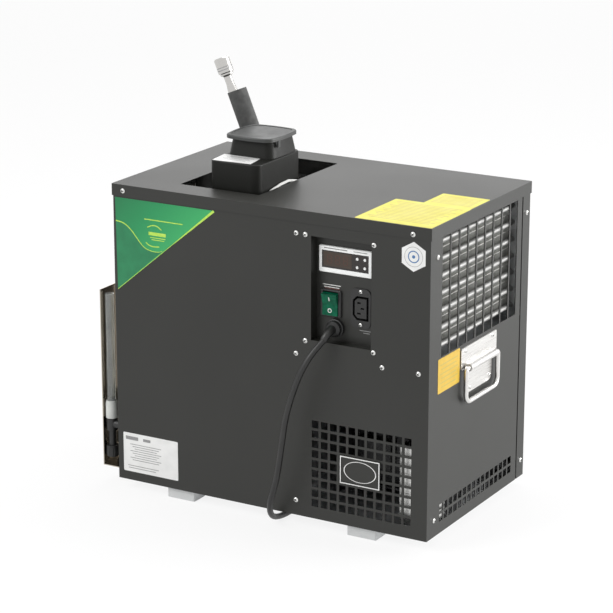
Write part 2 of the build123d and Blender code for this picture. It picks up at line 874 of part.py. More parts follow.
def drain_guard():
    """Bright channel round the level tube: outer plate, back and bottom, with two tabs on the cabinet."""
    x0 = left_x - guard_reach
    y0 = front_y + guard_from_front
    y1 = y0 + guard_depth
    g = guard_gauge
    guard = block(x0, x0 + g, y0, y1, guard_bottom, guard_top)
    guard += block(x0, left_x, y1 - g, y1, guard_bottom, guard_top)
    guard += block(x0, left_x - clearance, y0, y1, guard_bottom, guard_bottom + g)
    for z in (guard_bottom, guard_top - 2 * guard_tab):
        guard += block(left_x - g, left_x, y1 - g, y1 + guard_tab, z, z + 2 * guard_tab)
    return guard


def drain_tee():
    """Tee under the level tube: body, the arm into the cabinet, neck and washer."""
    x, y, z = gauge_axis(drain_height)
    body = rod((x, y, tee_body_bottom), (x, y, tube_nut_bottom), tee_diameter)
    body += rod((x, y, z), (left_x - clearance, y, z), tee_arm_diameter)
    body += rod((left_x - clearance - 4, y, z), (left_x - clearance, y, z), tee_arm_diameter + 6)
    body += rod((x, y, tee_bottom), (x, y, tee_body_bottom), 10.5)
    washer = drain_cap_bottom + drain_cap_height + clearance
    return body + rod((x, y, washer), (x, y, tee_bottom), tube_nut_diameter)


def level_tube():
    x, y, z = gauge_axis(0)
    outer = rod((x, y, tube_nut_bottom + 4), (x, y, level_tube_top), level_tube_diameter)
    inner = rod((x, y, tube_nut_bottom), (x, y, level_tube_top + 1), level_tube_diameter - 2 * level_tube_wall)
    return outer - inner


def tube_nut():
    x, y, z = gauge_axis(0)
    r = tube_nut_diameter / 2
    bore = level_tube_diameter / 2 + clearance
    points = [(0, tube_nut_bottom), (r, tube_nut_bottom), (r, tube_nut_top - 5), (r - 1.2, tube_nut_top),
              (bore, tube_nut_top), (bore, tube_nut_bottom + 4 - clearance), (0, tube_nut_bottom + 4 - clearance)]
    body = revolve(Plane.XZ * make_face(Polyline(*points, close=True)), Axis.Z)
    return Pos(x, y, 0) * body


def drain_cap():
    """Screw cap under the tee, with grip flats."""
    x, y, z = gauge_axis(0)
    top = drain_cap_bottom + drain_cap_height
    cap = rod((x, y, drain_cap_bottom), (x, y, top), tube_nut_diameter)
    cap = fillet(cap.faces().sort_by(Axis.Z)[0].edges(), 1.5)
    for n in range(8):
        turn = Rot(0, 0, n * 45)
        cap -= Pos(x, y, drain_cap_bottom) * turn * Pos(tube_nut_diameter / 2 + 0.6, 0, 6) * Cylinder(1.2, 14)
    return cap


# Handles
def handle_plate():
    """Folded plate: wide top, rolled barrel, narrower lower part with round corners."""
    y = handle_centre_y
    g = handle_gauge
    top = block(right_x, right_x + g, y - handle_top_width / 2, y + handle_top_width / 2, handle_top_from, handle_top_to)
    top = fillet(top.edges().filter_by(Axis.X), 3.0)
    low = block(right_x, right_x + g, y - handle_low_width / 2, y + handle_low_width / 2, handle_low_bottom, handle_top_from + 5)
    low = fillet(low.edges().filter_by(Axis.X).group_by(Axis.Z)[0], 9.0)
    half = handle_low_width / 2
    x = right_x + g + barrel_diameter / 2
    barrel = rod((x, y - half, barrel_height), (x, y + half, barrel_height), barrel_diameter)
    barrel += block(right_x + g - 0.5, x, y - half, y + half, barrel_height, barrel_height + barrel_diameter / 2)
    bore = rod((x, y - half - 1, barrel_height), (x, y + half + 1, barrel_height), bail_diameter + 2 * bail_play)
    return top + low + barrel - bore


def handle_bail():
    """Bent bar: two legs, the grip below, and two ends turned into the barrel."""
    y = handle_centre_y
    x = bail_x
    leg = bail_spread / 2
    tip = handle_low_width / 2 - bail_entry
    low = barrel_height - bail_drop
    points = [(x, y - tip, barrel_height), (x, y - leg, barrel_height), (x, y - leg, low), (x, y + leg, low),
              (x, y + leg, barrel_height), (x, y + tip, barrel_height)]
    radii = [4.0, bail_corner, bail_corner, 4.0]
    return tube(points, radii, bail_diameter)


def mirrored(piece):
    return mirror(piece, about=Plane.YZ)


# Cooling circuit
def shelf():
    """Shelf over the compressor that carries condenser and fan."""
    x0, x1 = partition_x + sheet, right_x - side_lip - clearance
    z = shelf_height
    plate = block(x0, x1, inner_front, inner_rear, z - sheet, z)
    plate += block(partition_x + partition_flange + 1, x1, inner_front, inner_front + sheet, z - shelf_flange, z)
    plate += block(x0, x1, inner_rear - sheet, inner_rear, z - sheet, z + 8)
    for y0 in (inner_front - 1, inner_rear - sheet - clearance):
        plate -= block(partition_x, partition_x + partition_flange + clearance, y0, y0 + sheet + 1 + clearance, z - 20, z + 20)
    for x, y, d in shelf_holes():
        plate -= Pos(x, y, z) * Cylinder(d / 2 + 2, 20)
    return plate


def shelf_holes():
    return [(suction_drop_x(), line_sides()[1], evaporator_diameter), (discharge_x(), rear_bend_y(), line_diameter)]


def suction_drop_x():
    return evaporator_end_x() + 20


def discharge_x():
    return compressor_x + 30


def front_bend_y():
    """Where the condenser's return bends reach in front of its end plate."""
    return condenser_front_y - 1 - tube_pitch * 0.49


def rear_bend_y():
    return condenser_rear_y + 1 + tube_pitch * 0.49


def row_height(row):
    return tube_first + row * tube_pitch


def tube_x():
    return right_x - condenser_tube_behind


def fin_face():
    return tube_x() - condenser_tube_diameter / 2 - clearance


def condenser_tubes():
    """Seven rows in one serpentine, with return bends past the end plates."""
    x = tube_x()
    bend = tube_pitch * 0.49
    front, rear = front_bend_y(), rear_bend_y()
    points = [(x - tube_tail, front, row_height(0)), (x, front, row_height(0))]
    for row in range(tube_rows):
        far = rear if row % 2 == 0 else front
        points.append((x, far, row_height(row)))
        if row < tube_rows - 1:
            points.append((x, far, row_height(row + 1)))
    points.append((x - tube_tail, points[-1][1], row_height(tube_rows - 1)))
    radii = [bend] * (len(points) - 2)
    return tube(points, radii, condenser_tube_diameter)


def condenser_fins():
    """Fin block behind the tubes, combed on its front."""
    z0, z1 = row_height(0) - fin_margin, row_height(tube_rows - 1) + fin_margin * 2
    x1 = fin_face()
    y0, y1 = condenser_front_y + end_plate, condenser_rear_y - end_plate
    fins = block(x1 - fin_block_depth, x1, y0, y1, z0, z1)
    count = int((y1 - y0 - fin_thickness) / fin_pitch)
    start = (y0 + y1 - count * fin_pitch) / 2
    for n in range(count):
        y = start + n * fin_pitch + fin_thickness / 2
        fins -= block(x1 - fin_groove_depth, x1 + 1, y, y + fin_pitch - fin_thickness, z0 - 1, z1 + 1)
    return fins


def condenser_end_plates():
    """Galvanised end plates that stand on the shelf and carry the tubes in their holes."""
    x0, x1 = fin_face() - fin_block_depth - 2, tube_x() + 5.5
    plates = []
    for y0, toe in ((condenser_front_y, -10), (condenser_rear_y - end_plate, end_plate + 10)):
        plate = block(x0, x1, y0, y0 + end_plate, shelf_height, condenser_top)
        plate += block(x0, x1, min(y0, y0 + toe), max(y0 + end_plate, y0 + toe), shelf_height, shelf_height + end_plate)
        for row in range(tube_rows):
            hole = condenser_tube_diameter + 2 * clearance
            plate -= rod((tube_x(), y0 - 2, row_height(row)), (tube_x(), y0 + end_plate + 2, row_height(row)), hole)
        plates.append(plate)
    return plates


def shroud_x():
    """Face of the fan shroud against the end plates."""
    return fin_face() - fin_block_depth - 2


def fan_middle_y():
    return (condenser_front_y + condenser_rear_y) / 2


def fan_shroud():
    """Plate with a collar round the fan, and the strap that holds the motor."""
    x1 = shroud_x()
    y = fan_middle_y()
    ring = fan_diameter / 2 + fan_tip_gap
    plate = block(x1 - sheet, x1, condenser_front_y, condenser_rear_y, shelf_height, condenser_top)
    plate += rod((x1 - 16, y, fan_height), (x1, y, fan_height), 2 * (ring + sheet))
    plate -= rod((x1 - 20, y, fan_height), (x1 + 1, y, fan_height), 2 * ring)
    back = motor_face()
    for side in (-1, 1):
        a = y + side * (ring + 4)
        plate += block(back, x1 - sheet, min(a, a + side * 1.5), max(a, a + side * 1.5), fan_height - 9, fan_height + 9)
    strap = block(back - 1.5, back, y - ring - 5.5, y + ring + 5.5, fan_height - 9, fan_height + 9)
    strap -= rod((back - 3, y, fan_height), (back + 1, y, fan_height), 14.0)
    return plate + strap


def motor_face():
    """Front of the strap that the fan motor is bolted behind."""
    return shroud_x() - 44


def fan_motor():
    """Shaded-pole motor: laminated stack between two round bearing caps."""
    x1 = motor_face() - 1.5
    y = fan_middle_y()
    x0 = x1 - motor_length
    stack = block(x0 + 6, x1 - 4, y - motor_width / 2, y + motor_width / 2, fan_height - motor_height / 2, fan_height + motor_height / 2)
    body = stack + rod((x0, y, fan_height), (x1, y, fan_height), 34.0)
    body += rod((x1 - 1, y, fan_height), (x1 + 5, y, fan_height), 12.0)
    return body - rod((x1 - 12, y, fan_height), (x1 + 6, y, fan_height), 5.6)


def fan_blades():
    """Hub with its shaft and pitched blades."""
    x1 = motor_face() - 1.5
    y = fan_middle_y()
    hub0, hub1 = x1 + 14, x1 + 32
    fan = rod((hub0, y, fan_height), (hub1, y, fan_height), fan_hub_diameter)
    fan = fillet(fan.faces().sort_by(Axis.X)[-1].edges(), 3.0)
    fan += rod((x1 - 11, y, fan_height), (hub0 + 1, y, fan_height), 5.0)
    middle = (hub0 + hub1) / 2
    outer = rod((middle - 30, y, fan_height), (middle + 30, y, fan_height), fan_diameter)
    outer -= rod((middle - 30, y, fan_height), (middle + 30, y, fan_height), fan_hub_diameter - 3)
    span = fan_diameter / 2
    for n in range(fan_blade_count):
        blade = Pos(0, 0, span / 2) * Rot(0, 0, fan_blade_pitch) * Box(1.8, 42, span)
        turned = Pos(middle, y, fan_height) * Rot(n * 360 / fan_blade_count, 0, 0) * blade
        fan += turned & outer
    return fan


def compressor():
    """Hermetic shell: two drawn halves on a base plate, with a cover and two stubs."""
    r = compressor_radius
    low = sheet + mount_height
    belt = low + (compressor_top - low) * 0.52
    outline = Polyline((0, low + 4), (r * 0.5, low + 4), (r * 0.9, low + 14), (r, low + 30), (r, belt), (r + 3, belt),
                       (r + 3, belt + 4), (r - 1, belt + 4), (r - 3, belt + 34), (r * 0.76, compressor_top - 12),
                       (r * 0.4, compressor_top - 2), (0, compressor_top), close=True)
    shell = revolve(Plane.XZ * make_face(outline), Axis.Z)
    plate = extrude(Pos(0, 0, low) * RectangleRounded(mount_spread_x + 28, mount_spread_y + 28, 10), 3)
    plate += extrude(Pos(0, 0, low + 2) * Circle(r * 0.5), 4)
    shell += plate
    shell += block(-28, 22, -r - 14, -r * 0.6, belt - 42, belt - 4)
    shell = Pos(compressor_x, compressor_y, 0) * shell
    for (x, y), d in zip(stub_places(), (evaporator_diameter, line_diameter)):
        shell += rod((x, y, compressor_top - 60), (x, y, stub_top()), d + 2)
    return shell


def stub_top():
    return compressor_top + 12


def stub_places():
    """The suction and discharge stubs on the shell's top."""
    return [(suction_drop_x(), compressor_y + 30), (discharge_x(), compressor_y + 42)]


def compressor_mounts():
    """Four rubber grommets under the base plate."""
    mounts = []
    for dx in (-0.5, 0.5):
        for dy in (-0.5, 0.5):
            x, y = compressor_x + dx * mount_spread_x, compressor_y + dy * mount_spread_y
            outline = Polyline((4, 0), (12, 0), (12, 4), (9, 7), (11, mount_height), (4, mount_height), close=True)
            mounts.append(Pos(x, y, sheet) * revolve(Plane.XZ * make_face(outline), Axis.Z))
    return mounts


def suction_line():
    (x, y), side = stub_places()[0], line_sides()[1]
    low = (stub_top() + shelf_height - shelf_flange) / 2 + 8
    points = [(evaporator_end_x(), side, line_height), (x, side, line_height), (x, side, low), (x, y, low), (x, y, stub_top())]
    return tube(points, [14.0, 14.0, 14.0], evaporator_diameter)


def discharge_line():
    x, y = stub_places()[1]
    low = stub_top() + line_rise
    end = tube_x() - tube_tail
    rear = rear_bend_y()
    top = row_height(tube_rows - 1)
    points = [(x, y, stub_top()), (x, y, low), (x, rear, low), (x, rear, top), (end, rear, top)]
    return tube(points, [12.0, 12.0, 12.0], line_diameter)


def drier_x():
    return tube_x() - 48


def filter_drier():
    """Copper drier on the liquid line, necked at both ends."""
    r = drier_diameter / 2
    n = line_diameter / 2 + 0.8
    points = [(0, 0), (n, 0), (n, 6), (r, 16), (r, drier_length - 16), (n, drier_length - 6), (n, drier_length), (0, drier_length)]
    body = revolve(Plane.XZ * make_face(Polyline(*points, close=True)), Axis.Z)
    return Pos(drier_x(), front_bend_y() + 14, row_height(0)) * Rot(-90, 0, 0) * body


def liquid_line():
    """Two lengths: condenser to drier, and drier to the evaporator's inlet."""
    z = row_height(0)
    x, y = drier_x(), front_bend_y()
    first = tube([(tube_x() - tube_tail, y, z), (x, y, z), (x, y + 14, z)], 8.0, line_diameter)
    end = y + 14 + drier_length
    turn_x = evaporator_end_x() + 40
    side = line_sides()[0]
    points = [(x, end, z), (x, end + line_rise, z), (turn_x, end + line_rise, z), (turn_x, end + line_rise, line_height),
              (turn_x, side, line_height), (evaporator_end_x(), side, line_height)]
    return [first, tube(points, 10.0, line_diameter)]


def relay_box():
    """Galvanised box on the base pan in the front right corner, its cover lapped over the left edge."""
    x1 = inner_right - 3
    y0 = front_y + relay_box_behind
    x0 = x1 - relay_box_width
    body = block(x0 + 9, x1, y0, y0 + relay_box_depth, sheet, sheet + relay_box_height)
    return body + block(x0, x0 + 10, y0 + 2, y0 + relay_box_depth, sheet, sheet + relay_box_height - 1)


# Mains cord
def cord_radii():
    """Each corner's arc: 0.45 of its shorter run over the tangent of half its turn."""
    radii = []
    for a, b, c in zip(cord_points, cord_points[1:], cord_points[2:]):
        into = Vector(*b) - Vector(*a)
        out = Vector(*c) - Vector(*b)
        turn = math.radians(into.get_angle(out))
        radii.append(0.45 * min(into.length, out.length) / math.tan(turn / 2))
    return radii


def power_cord():
    cord = tube(cord_points, cord_radii(), cord_diameter)
    length = FilletPolyline(*cord_points, radius=cord_radii()).length
    print("cord radii", [round(r) for r in cord_radii()], "length", round(length, 1))
    print("cord volume", round(cord.volume), "of", round(length * math.pi * cord_diameter ** 2 / 4))
    return cord


def cord_coil():
    """The put-away length: one ring with rounded edges."""
    section = Pos(coil_middle_diameter / 2, coil_height / 2) * RectangleRounded(coil_width, coil_height, 5.0)
    ring = revolve(Plane.XZ * section, Axis.Z)
    return Pos(*coil_centre, 0) * ring


def mains_plug():
    """Straight earthed plug lying behind the coil: tapered sleeve, grip, round body, two pins."""
    r = plug_diameter / 2
    n = cord_diameter / 2 + 1.2
    length = plug_sleeve + plug_body
    points = [(0, 0), (n, 0), (n + 2.2, plug_sleeve), (r - 5, plug_sleeve + 5), (r - 2.5, plug_sleeve + 14),
              (r, plug_sleeve + 17), (r, length), (0, length)]
    body = revolve(Plane.XZ * make_face(Polyline(*points, close=True)), Axis.Z)
    for side in (-0.5, 0.5):
        pin = rod((side * pin_spacing, 0, length - 2), (side * pin_spacing, 0, length + pin_length), pin_diameter)
        body += fillet(pin.faces().sort_by(Axis.Z)[-1].edges(), 1.8)
    half = coil_middle_diameter / 2
    edge = math.sqrt((half + coil_width / 2) ** 2 - half ** 2)
    place = Pos(coil_centre[0] - edge + 2, coil_centre[1] + half, r)
    return place * Rot(0, -90, 0) * body


def pieces():
    """Every node's name with its solids, in the cabinet's frame."""
    made = {
        "base_pan": base_pan(),
        "front_panel": front_panel(),
        "rear_panel": rear_panel(),
        "left_panel": left_panel(),
        "right_panel": right_panel(),
        "lid": lid(),
        "feet": feet(),
        "name_plate": name_plate(),
        "partition": partition(),
        "machine_shelf": shelf(),
        "control_tray": control_tray(),
        "controller_body": controller_body(),
        "controller_window": controller_window(),
        "switch_frame": switch_frame(),
        "switch_rocker": switch_rocker(),
        "outlet_socket": outlet_socket(),
        "cable_gland": cable_gland(),
        "strain_relief": strain_relief(),
        "tank": tank(),
        "tank_insulation": tank_insulation(),
        "drain_pipe": drain_pipe(),
        "evaporator_coil": evaporator_coil(),
        "pump_housing": pump_housing(),
        "pump_cap": pump_cap(),
        "pump_bracket": pump_bracket(),
        "pump_casing": pump_casing(),
        "pump_shaft": pump_shaft(),
        "riser_pipe": riser_pipe(),
        "pipe_insulation": pipe_insulation(),
        "union_nut": union_nut(),
        "sensor_tube": sensor_tube(),
        "drain_guard": drain_guard(),
        "drain_tee": drain_tee(),
        "level_tube": level_tube(),
        "tube_nut": tube_nut(),
        "drain_cap": drain_cap(),
        "handle_plate_right": handle_plate(),
        "handle_bail_right": handle_bail(),
        "handle_plate_left": mirrored(handle_plate()),
        "handle_bail_left": mirrored(handle_bail()),
        "condenser_tubes": condenser_tubes(),
        "condenser_fins": condenser_fins(),
        "condenser_end_plates": condenser_end_plates(),
        "fan_shroud": fan_shroud(),
        "fan_motor": fan_motor(),
        "fan_blades": fan_blades(),
        "compressor": compressor(),
        "compressor_mounts": compressor_mounts(),
        "suction_line": suction_line(),
        "discharge_line": discharge_line(),
        "liquid_line": liquid_line(),
        "filter_drier": filter_drier(),
        "relay_box": relay_box(),
    }
    for index in range(4):
        made[f"controller_button_{index + 1}"] = button(index)
    return made


def cord_pieces():
    """The nodes that are placed in the finished part's own frame."""
    return {"power_cord": power_cord(), "cord_coil": cord_coil(), "mains_plug": mains_plug()}


def save(name, piece, place):
    """Writes one node's solids to its STEP file."""
    parts = piece if isinstance(piece, list) else [piece]
    solids = [place * solid for part in parts for solid in part.solids()]
    whole = solids[0] if len(solids) == 1 else Compound(children=solids)
    export_step(whole, f"parts/{name}.step")


os.makedirs("parts", exist_ok=True)
for name, piece in pieces().items():
    save(name, piece, Pos(frame_shift, 0, foot_height))
for name, piece in cord_pieces().items():
    save(name, piece, Pos(0, 0, 0))
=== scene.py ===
import bpy
import bmesh
import json
import math
from mathutils import Matrix, Vector


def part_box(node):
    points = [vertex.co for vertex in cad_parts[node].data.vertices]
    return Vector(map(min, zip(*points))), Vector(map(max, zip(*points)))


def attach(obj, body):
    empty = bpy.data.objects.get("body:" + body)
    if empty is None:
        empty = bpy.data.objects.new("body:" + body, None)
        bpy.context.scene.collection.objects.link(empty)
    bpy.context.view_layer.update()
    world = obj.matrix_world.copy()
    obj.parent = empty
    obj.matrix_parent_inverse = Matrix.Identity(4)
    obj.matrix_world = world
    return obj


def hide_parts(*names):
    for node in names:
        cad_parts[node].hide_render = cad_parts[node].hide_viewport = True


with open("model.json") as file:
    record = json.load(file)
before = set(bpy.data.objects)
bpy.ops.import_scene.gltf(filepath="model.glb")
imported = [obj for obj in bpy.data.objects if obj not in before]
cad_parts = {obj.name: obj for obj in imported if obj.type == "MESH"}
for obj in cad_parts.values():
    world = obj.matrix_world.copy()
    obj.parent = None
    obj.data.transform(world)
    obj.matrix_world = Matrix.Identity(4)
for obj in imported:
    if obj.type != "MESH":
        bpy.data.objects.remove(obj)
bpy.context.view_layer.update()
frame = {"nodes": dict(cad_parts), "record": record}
nodes = frame["nodes"]
scene = bpy.context.scene

# The drawing's zero is the middle of the cabinet at the panels' lower edge, in millimetres.
CABINET_SHIFT = 10.75
FOOT_HEIGHT = 15.0
RIGHT, FRONT, LID_TOP = 237.0, -144.5, 415.0
LEFT, REAR = -237.0, 144.5
TRAY_FACE = -129.5
SWITCH_X, SWITCH_Z = 88.0, 293.8
OUTLET_X, OUTLET_Z = 131.0, 292.9
RISER_LEAN = 22.7
NUT_LENGTH = 0.023
X, Y, Z = Vector((1, 0, 0)), Vector((0, 1, 0)), Vector((0, 0, 1))


def at(x, y, z):
    """A point of the drawing, in the part's frame in metres."""
    return Vector((x + CABINET_SHIFT, y, z + FOOT_HEIGHT)) / 1000


# Camera: fitted to the corners of the cabinet
LENS = 143.59
CAMERA_PLACE = (1.57065, -2.7477, 1.1953)
AZIMUTH, ELEVATION, ROLL = 29.96, 16.53, 0.06


def set_camera():
    camera = bpy.data.objects.new("camera", bpy.data.cameras.new("camera"))
    scene.collection.objects.link(camera)
    camera.data.sensor_width = 36.0
    camera.data.lens = LENS
    camera.data.clip_end = 30.0
    turn = Matrix.Rotation(math.radians(AZIMUTH), 4, "Z")
    tilt = Matrix.Rotation(math.radians(90 - ELEVATION), 4, "X")
    roll = Matrix.Rotation(math.radians(ROLL), 4, "Z")
    camera.matrix_world = Matrix.Translation(CAMERA_PLACE) @ turn @ tilt @ roll
    scene.camera = camera


set_camera()


# Finishes
class Finish:
    """A material under construction: its nodes, its links and its object coordinates."""

    def __init__(self, name, stretch=(1, 1, 1)):
        self.material = bpy.data.materials.new(name)
        self.material.use_nodes = True
        self.tree = self.material.node_tree
        self.shader = self.tree.nodes["Principled BSDF"]
        place = self.node("ShaderNodeTexCoord")
        mapping = self.node("ShaderNodeMapping")
        mapping.inputs["Scale"].default_value = stretch
        self.join(place.outputs["Object"], mapping.inputs["Vector"])
        self.place = mapping.outputs["Vector"]

    def node(self, kind):
        return self.tree.nodes.new(kind)

    def join(self, source, target):
        self.tree.links.new(source, target)

    def set(self, **values):
        for name, value in values.items():
            self.shader.inputs[name.replace("_", " ")].default_value = value
        return self

    def noise(self, scale, detail=2.0, roughness=0.5):
        noise = self.node("ShaderNodeTexNoise")
        noise.inputs["Scale"].default_value = scale
        noise.inputs["Detail"].default_value = detail
        noise.inputs["Roughness"].default_value = roughness
        self.join(self.place, noise.inputs["Vector"])
        return noise.outputs["Fac"]

    def cells(self, scale):
        cells = self.node("ShaderNodeTexVoronoi")
        cells.inputs["Scale"].default_value = scale
        self.join(self.place, cells.inputs["Vector"])
        return cells

    def spread(self, value, low, high, source=(0.3, 0.7)):
        ranged = self.node("ShaderNodeMapRange")
        ranged.inputs["From Min"].default_value = source[0]
        ranged.inputs["From Max"].default_value = source[1]
        ranged.inputs["To Min"].default_value = low
        ranged.inputs["To Max"].default_value = high
        self.join(value, ranged.inputs["Value"])
        return ranged.outputs["Result"]

    def tint(self, value, dark, light, source=(0.3, 0.7)):
        ramp = self.node("ShaderNodeValToRGB")
        ramp.color_ramp.elements[0].position = source[0]
        ramp.color_ramp.elements[1].position = source[1]
        ramp.color_ramp.elements[0].color = (*dark, 1)
        ramp.color_ramp.elements[1].color = (*light, 1)
        self.join(value, ramp.inputs["Fac"])
        self.join(ramp.outputs["Color"], self.shader.inputs["Base Color"])
        return self

    def polish(self, value, low, high):
        self.join(self.spread(value, low, high), self.shader.inputs["Roughness"])
        return self

    def relief(self, value, strength, depth):
        bump = self.node("ShaderNodeBump")
        bump.inputs["Strength"].default_value = strength
        bump.inputs["Distance"].default_value = depth
        self.join(value, bump.inputs["Height"])
        self.join(bump.outputs["Normal"], self.shader.inputs["Normal"])
        return self


def powder_coat():
    coat = Finish("powder_coat")
    coat.tint(coat.noise(5, 2), (0.0115, 0.0118, 0.0095), (0.0155, 0.0158, 0.0132))
    coat.polish(coat.noise(6, 2), 0.43, 0.47)
    return coat.relief(coat.noise(1300, 2), 0.28, 0.0003).material


def brushed(name, colour, along, low=0.2, high=0.3, relief=0.015):
    """Bright sheet or tube with fine drawing marks along one axis."""
    stretch = [150.0, 150.0, 150.0]
    stretch["XYZ".index(along)] = 2.0
    steel = Finish(name, stretch)
    marks = steel.noise(12, 3, 0.5)
    dark = [c * 0.9 for c in colour]
    steel.set(Metallic=1.0).tint(marks, dark, colour)
    return steel.polish(marks, low, high).relief(marks, relief, 0.0002).material


def galvanised():
    sheet = Finish("galvanised_sheet")
    spangle = sheet.cells(75)
    sheet.set(Metallic=0.85)
    sheet.tint(spangle.outputs["Color"], (0.42, 0.43, 0.44), (0.66, 0.67, 0.68), (0.1, 0.9))
    sheet.polish(sheet.noise(40, 4), 0.34, 0.5)
    return sheet.relief(spangle.outputs["Distance"], 0.05, 0.0003).material


def plain_fins():
    """Thin aluminium fins, in a darker grey than bare aluminium."""
    fins = Finish("plain_fins")
    fins.set(Metallic=0.15).tint(fins.noise(55, 4), (0.3, 0.3, 0.28), (0.46, 0.46, 0.44))
    fins.polish(fins.noise(50, 2), 0.45, 0.6)
    return fins.relief(fins.noise(420, 3), 0.4, 0.0004).material


def drawn_copper():
    copper = Finish("drawn_copper")
    copper.set(Metallic=1.0)
    copper.tint(copper.noise(45, 5, 0.65), (0.42, 0.2, 0.12), (0.76, 0.45, 0.31), (0.38, 0.62))
    return copper.polish(copper.noise(30, 3), 0.25, 0.5).material


def moulded(name, dark, light, low=0.42, high=0.55, grain=900, depth=0.25, sheen=0.5):
    """Moulded plastic with a fine eroded grain."""
    plastic = Finish(name)
    plastic.tint(plastic.noise(14, 3), dark, light)
    plastic.polish(plastic.noise(70, 3), low, high)
    plastic.set(Specular_IOR_Level=sheen)
    return plastic.relief(plastic.noise(grain, 2), depth, 0.0003).material


def display_window():
    window = Finish("display_window")
    window.tint(window.noise(20, 2), (0.012, 0.010, 0.009), (0.018, 0.014, 0.012))
    return window.polish(window.noise(15, 2), 0.06, 0.12).material


def glossy_green():
    green = Finish("rocker_green")
    green.tint(green.noise(160, 3), (0.001, 0.055, 0.028), (0.003, 0.12, 0.06))
    green.set(Specular_IOR_Level=0.12)
    return green.polish(green.noise(60, 2), 0.18, 0.28).material


def closed_cell_foam():
    foam = Finish("closed_cell_foam")
    pores = foam.cells(900)
    foam.tint(foam.noise(120, 4), (0.042, 0.043, 0.042), (0.075, 0.076, 0.074))
    foam.polish(foam.noise(200, 2), 0.6, 0.78)
    return foam.relief(pores.outputs["Distance"], 0.5, 0.0006).material


def clear_vinyl():
    tube = Finish("clear_vinyl")
    tube.tint(tube.noise(30, 3), (0.86, 0.89, 0.88), (0.95, 0.97, 0.96))
    tube.set(Transmission_Weight=0.92, IOR=1.42)
    return tube.polish(tube.noise(50, 2), 0.06, 0.14).material


def milky_nylon():
    nylon = Finish("milky_nylon")
    nylon.tint(nylon.noise(40, 3), (0.66, 0.68, 0.65), (0.78, 0.8, 0.77))
    nylon.set(Transmission_Weight=0.3, IOR=1.5)
    return nylon.polish(nylon.noise(70, 2), 0.35, 0.45).material


def rubber(name, dark, light, low=0.5, high=0.62):
    jacket = Finish(name)
    jacket.tint(jacket.noise(35, 3), dark, light)
    jacket.polish(jacket.noise(80, 3), low, high)
    return jacket.relief(jacket.noise(700, 2), 0.15, 0.0003).material


def film(name, dark, light, scale=60, rough=(0.3, 0.42)):
    """Printed sticker film, slightly uneven in colour, with a soft sheen."""
    sheet = Finish(name)
    sheet.tint(sheet.noise(scale, 3), dark, light)
    sheet.polish(sheet.noise(25, 3), *rough)
    return sheet.relief(sheet.noise(90, 3), 0.06, 0.0003).material


def green_film():
    """The corner sticker: deep green that turns brighter along its slanting edge, with pale sweeps."""
    sheet = Finish("green_film")
    split = sheet.node("ShaderNodeSeparateXYZ")
    sheet.join(sheet.place, split.inputs["Vector"])
    slant = sheet.node("ShaderNodeMath")
    slant.operation = "SUBTRACT"
    sheet.join(split.outputs["X"], slant.inputs[0])
    sheet.join(split.outputs["Z"], slant.inputs[1])
    ramp = sheet.node("ShaderNodeValToRGB")
    stops = ramp.color_ramp.elements
    stops[0].color = (0.003, 0.15, 0.05, 1)
    stops[1].color = (0.028, 0.35, 0.105, 1)
    middle = stops.new(0.5)
    middle.color = (0.006, 0.24, 0.075, 1)
    sheet.join(sheet.spread(slant.outputs[0], 0, 1, (-0.64, -0.485)), ramp.inputs["Fac"])
    sheet.join(ramp.outputs["Color"], sheet.shader.inputs["Base Color"])
    return sheet.polish(sheet.noise(25, 3), 0.28, 0.4).material


STAINLESS = (0.80, 0.79, 0.77)
finishes = {
    "cabinet_paint": powder_coat(),
    "stainless": brushed("stainless_upright", STAINLESS, "Z"),
    "galvanised": galvanised(),
    "copper": drawn_copper(),
    "aluminium": plain_fins(),
    "light_tube": brushed("pale_tube", (0.36, 0.36, 0.35), "Y", 0.5, 0.65),
    "black_plastic": moulded("black_plastic", (0.012, 0.012, 0.012), (0.02, 0.02, 0.02), 0.38, 0.5),
    "housing_plastic": moulded("housing_plastic", (0.006, 0.0063, 0.005), (0.009, 0.0093, 0.0078), 0.4, 0.5,
                               sheen=0.22),
    "cap_plastic": moulded("cap_plastic", (0.03, 0.032, 0.031), (0.042, 0.044, 0.043), 0.4, 0.5),
    "white_plastic": moulded("bezel_plastic", (0.8, 0.81, 0.8), (0.87, 0.88, 0.87), 0.28, 0.36, 600, 0.08),
    "window": display_window(),
    "green_plastic": glossy_green(),
    "foot_plastic": moulded("foot_plastic", (0.55, 0.56, 0.56), (0.66, 0.67, 0.67), 0.35, 0.5),
    "foam": closed_cell_foam(),
    "clear_tube": clear_vinyl(),
    "translucent_nut": milky_nylon(),
    "rubber": rubber("mount_rubber", (0.014, 0.014, 0.014), (0.022, 0.022, 0.022)),
    "cord_rubber": rubber("cord_jacket", (0.010, 0.010, 0.010), (0.017, 0.017, 0.016), 0.34, 0.46),
    "compressor_paint": moulded("black_enamel", (0.010, 0.010, 0.011), (0.018, 0.018, 0.019),
                                0.22, 0.34, 300, 0.1),
    "sensor_sleeve": moulded("sensor_sleeve", (0.62, 0.62, 0.6), (0.76, 0.76, 0.74), 0.35, 0.5),
    "motor_steel": brushed("motor_steel", (0.32, 0.32, 0.33), "Z", 0.4, 0.55),
}
drawn_across = brushed("stainless_across", (0.76, 0.75, 0.73), "Y", 0.24, 0.34)
turned_steel = brushed("turned_steel", (0.6, 0.59, 0.57), "Y", 0.16, 0.26)
mirror_steel = brushed("mirror_steel", (0.62, 0.57, 0.5), "Z", 0.07, 0.12, 0.004)
zinc = brushed("zinc_plate", (0.78, 0.78, 0.76), "X", 0.2, 0.34)
white_film = film("white_film", (0.72, 0.72, 0.71), (0.8, 0.8, 0.79))
yellow_film = film("yellow_film", (0.66, 0.6, 0.11), (0.72, 0.67, 0.148), rough=(0.55, 0.7))
orange_film = film("orange_film", (0.5, 0.32, 0.018), (0.57, 0.37, 0.028))
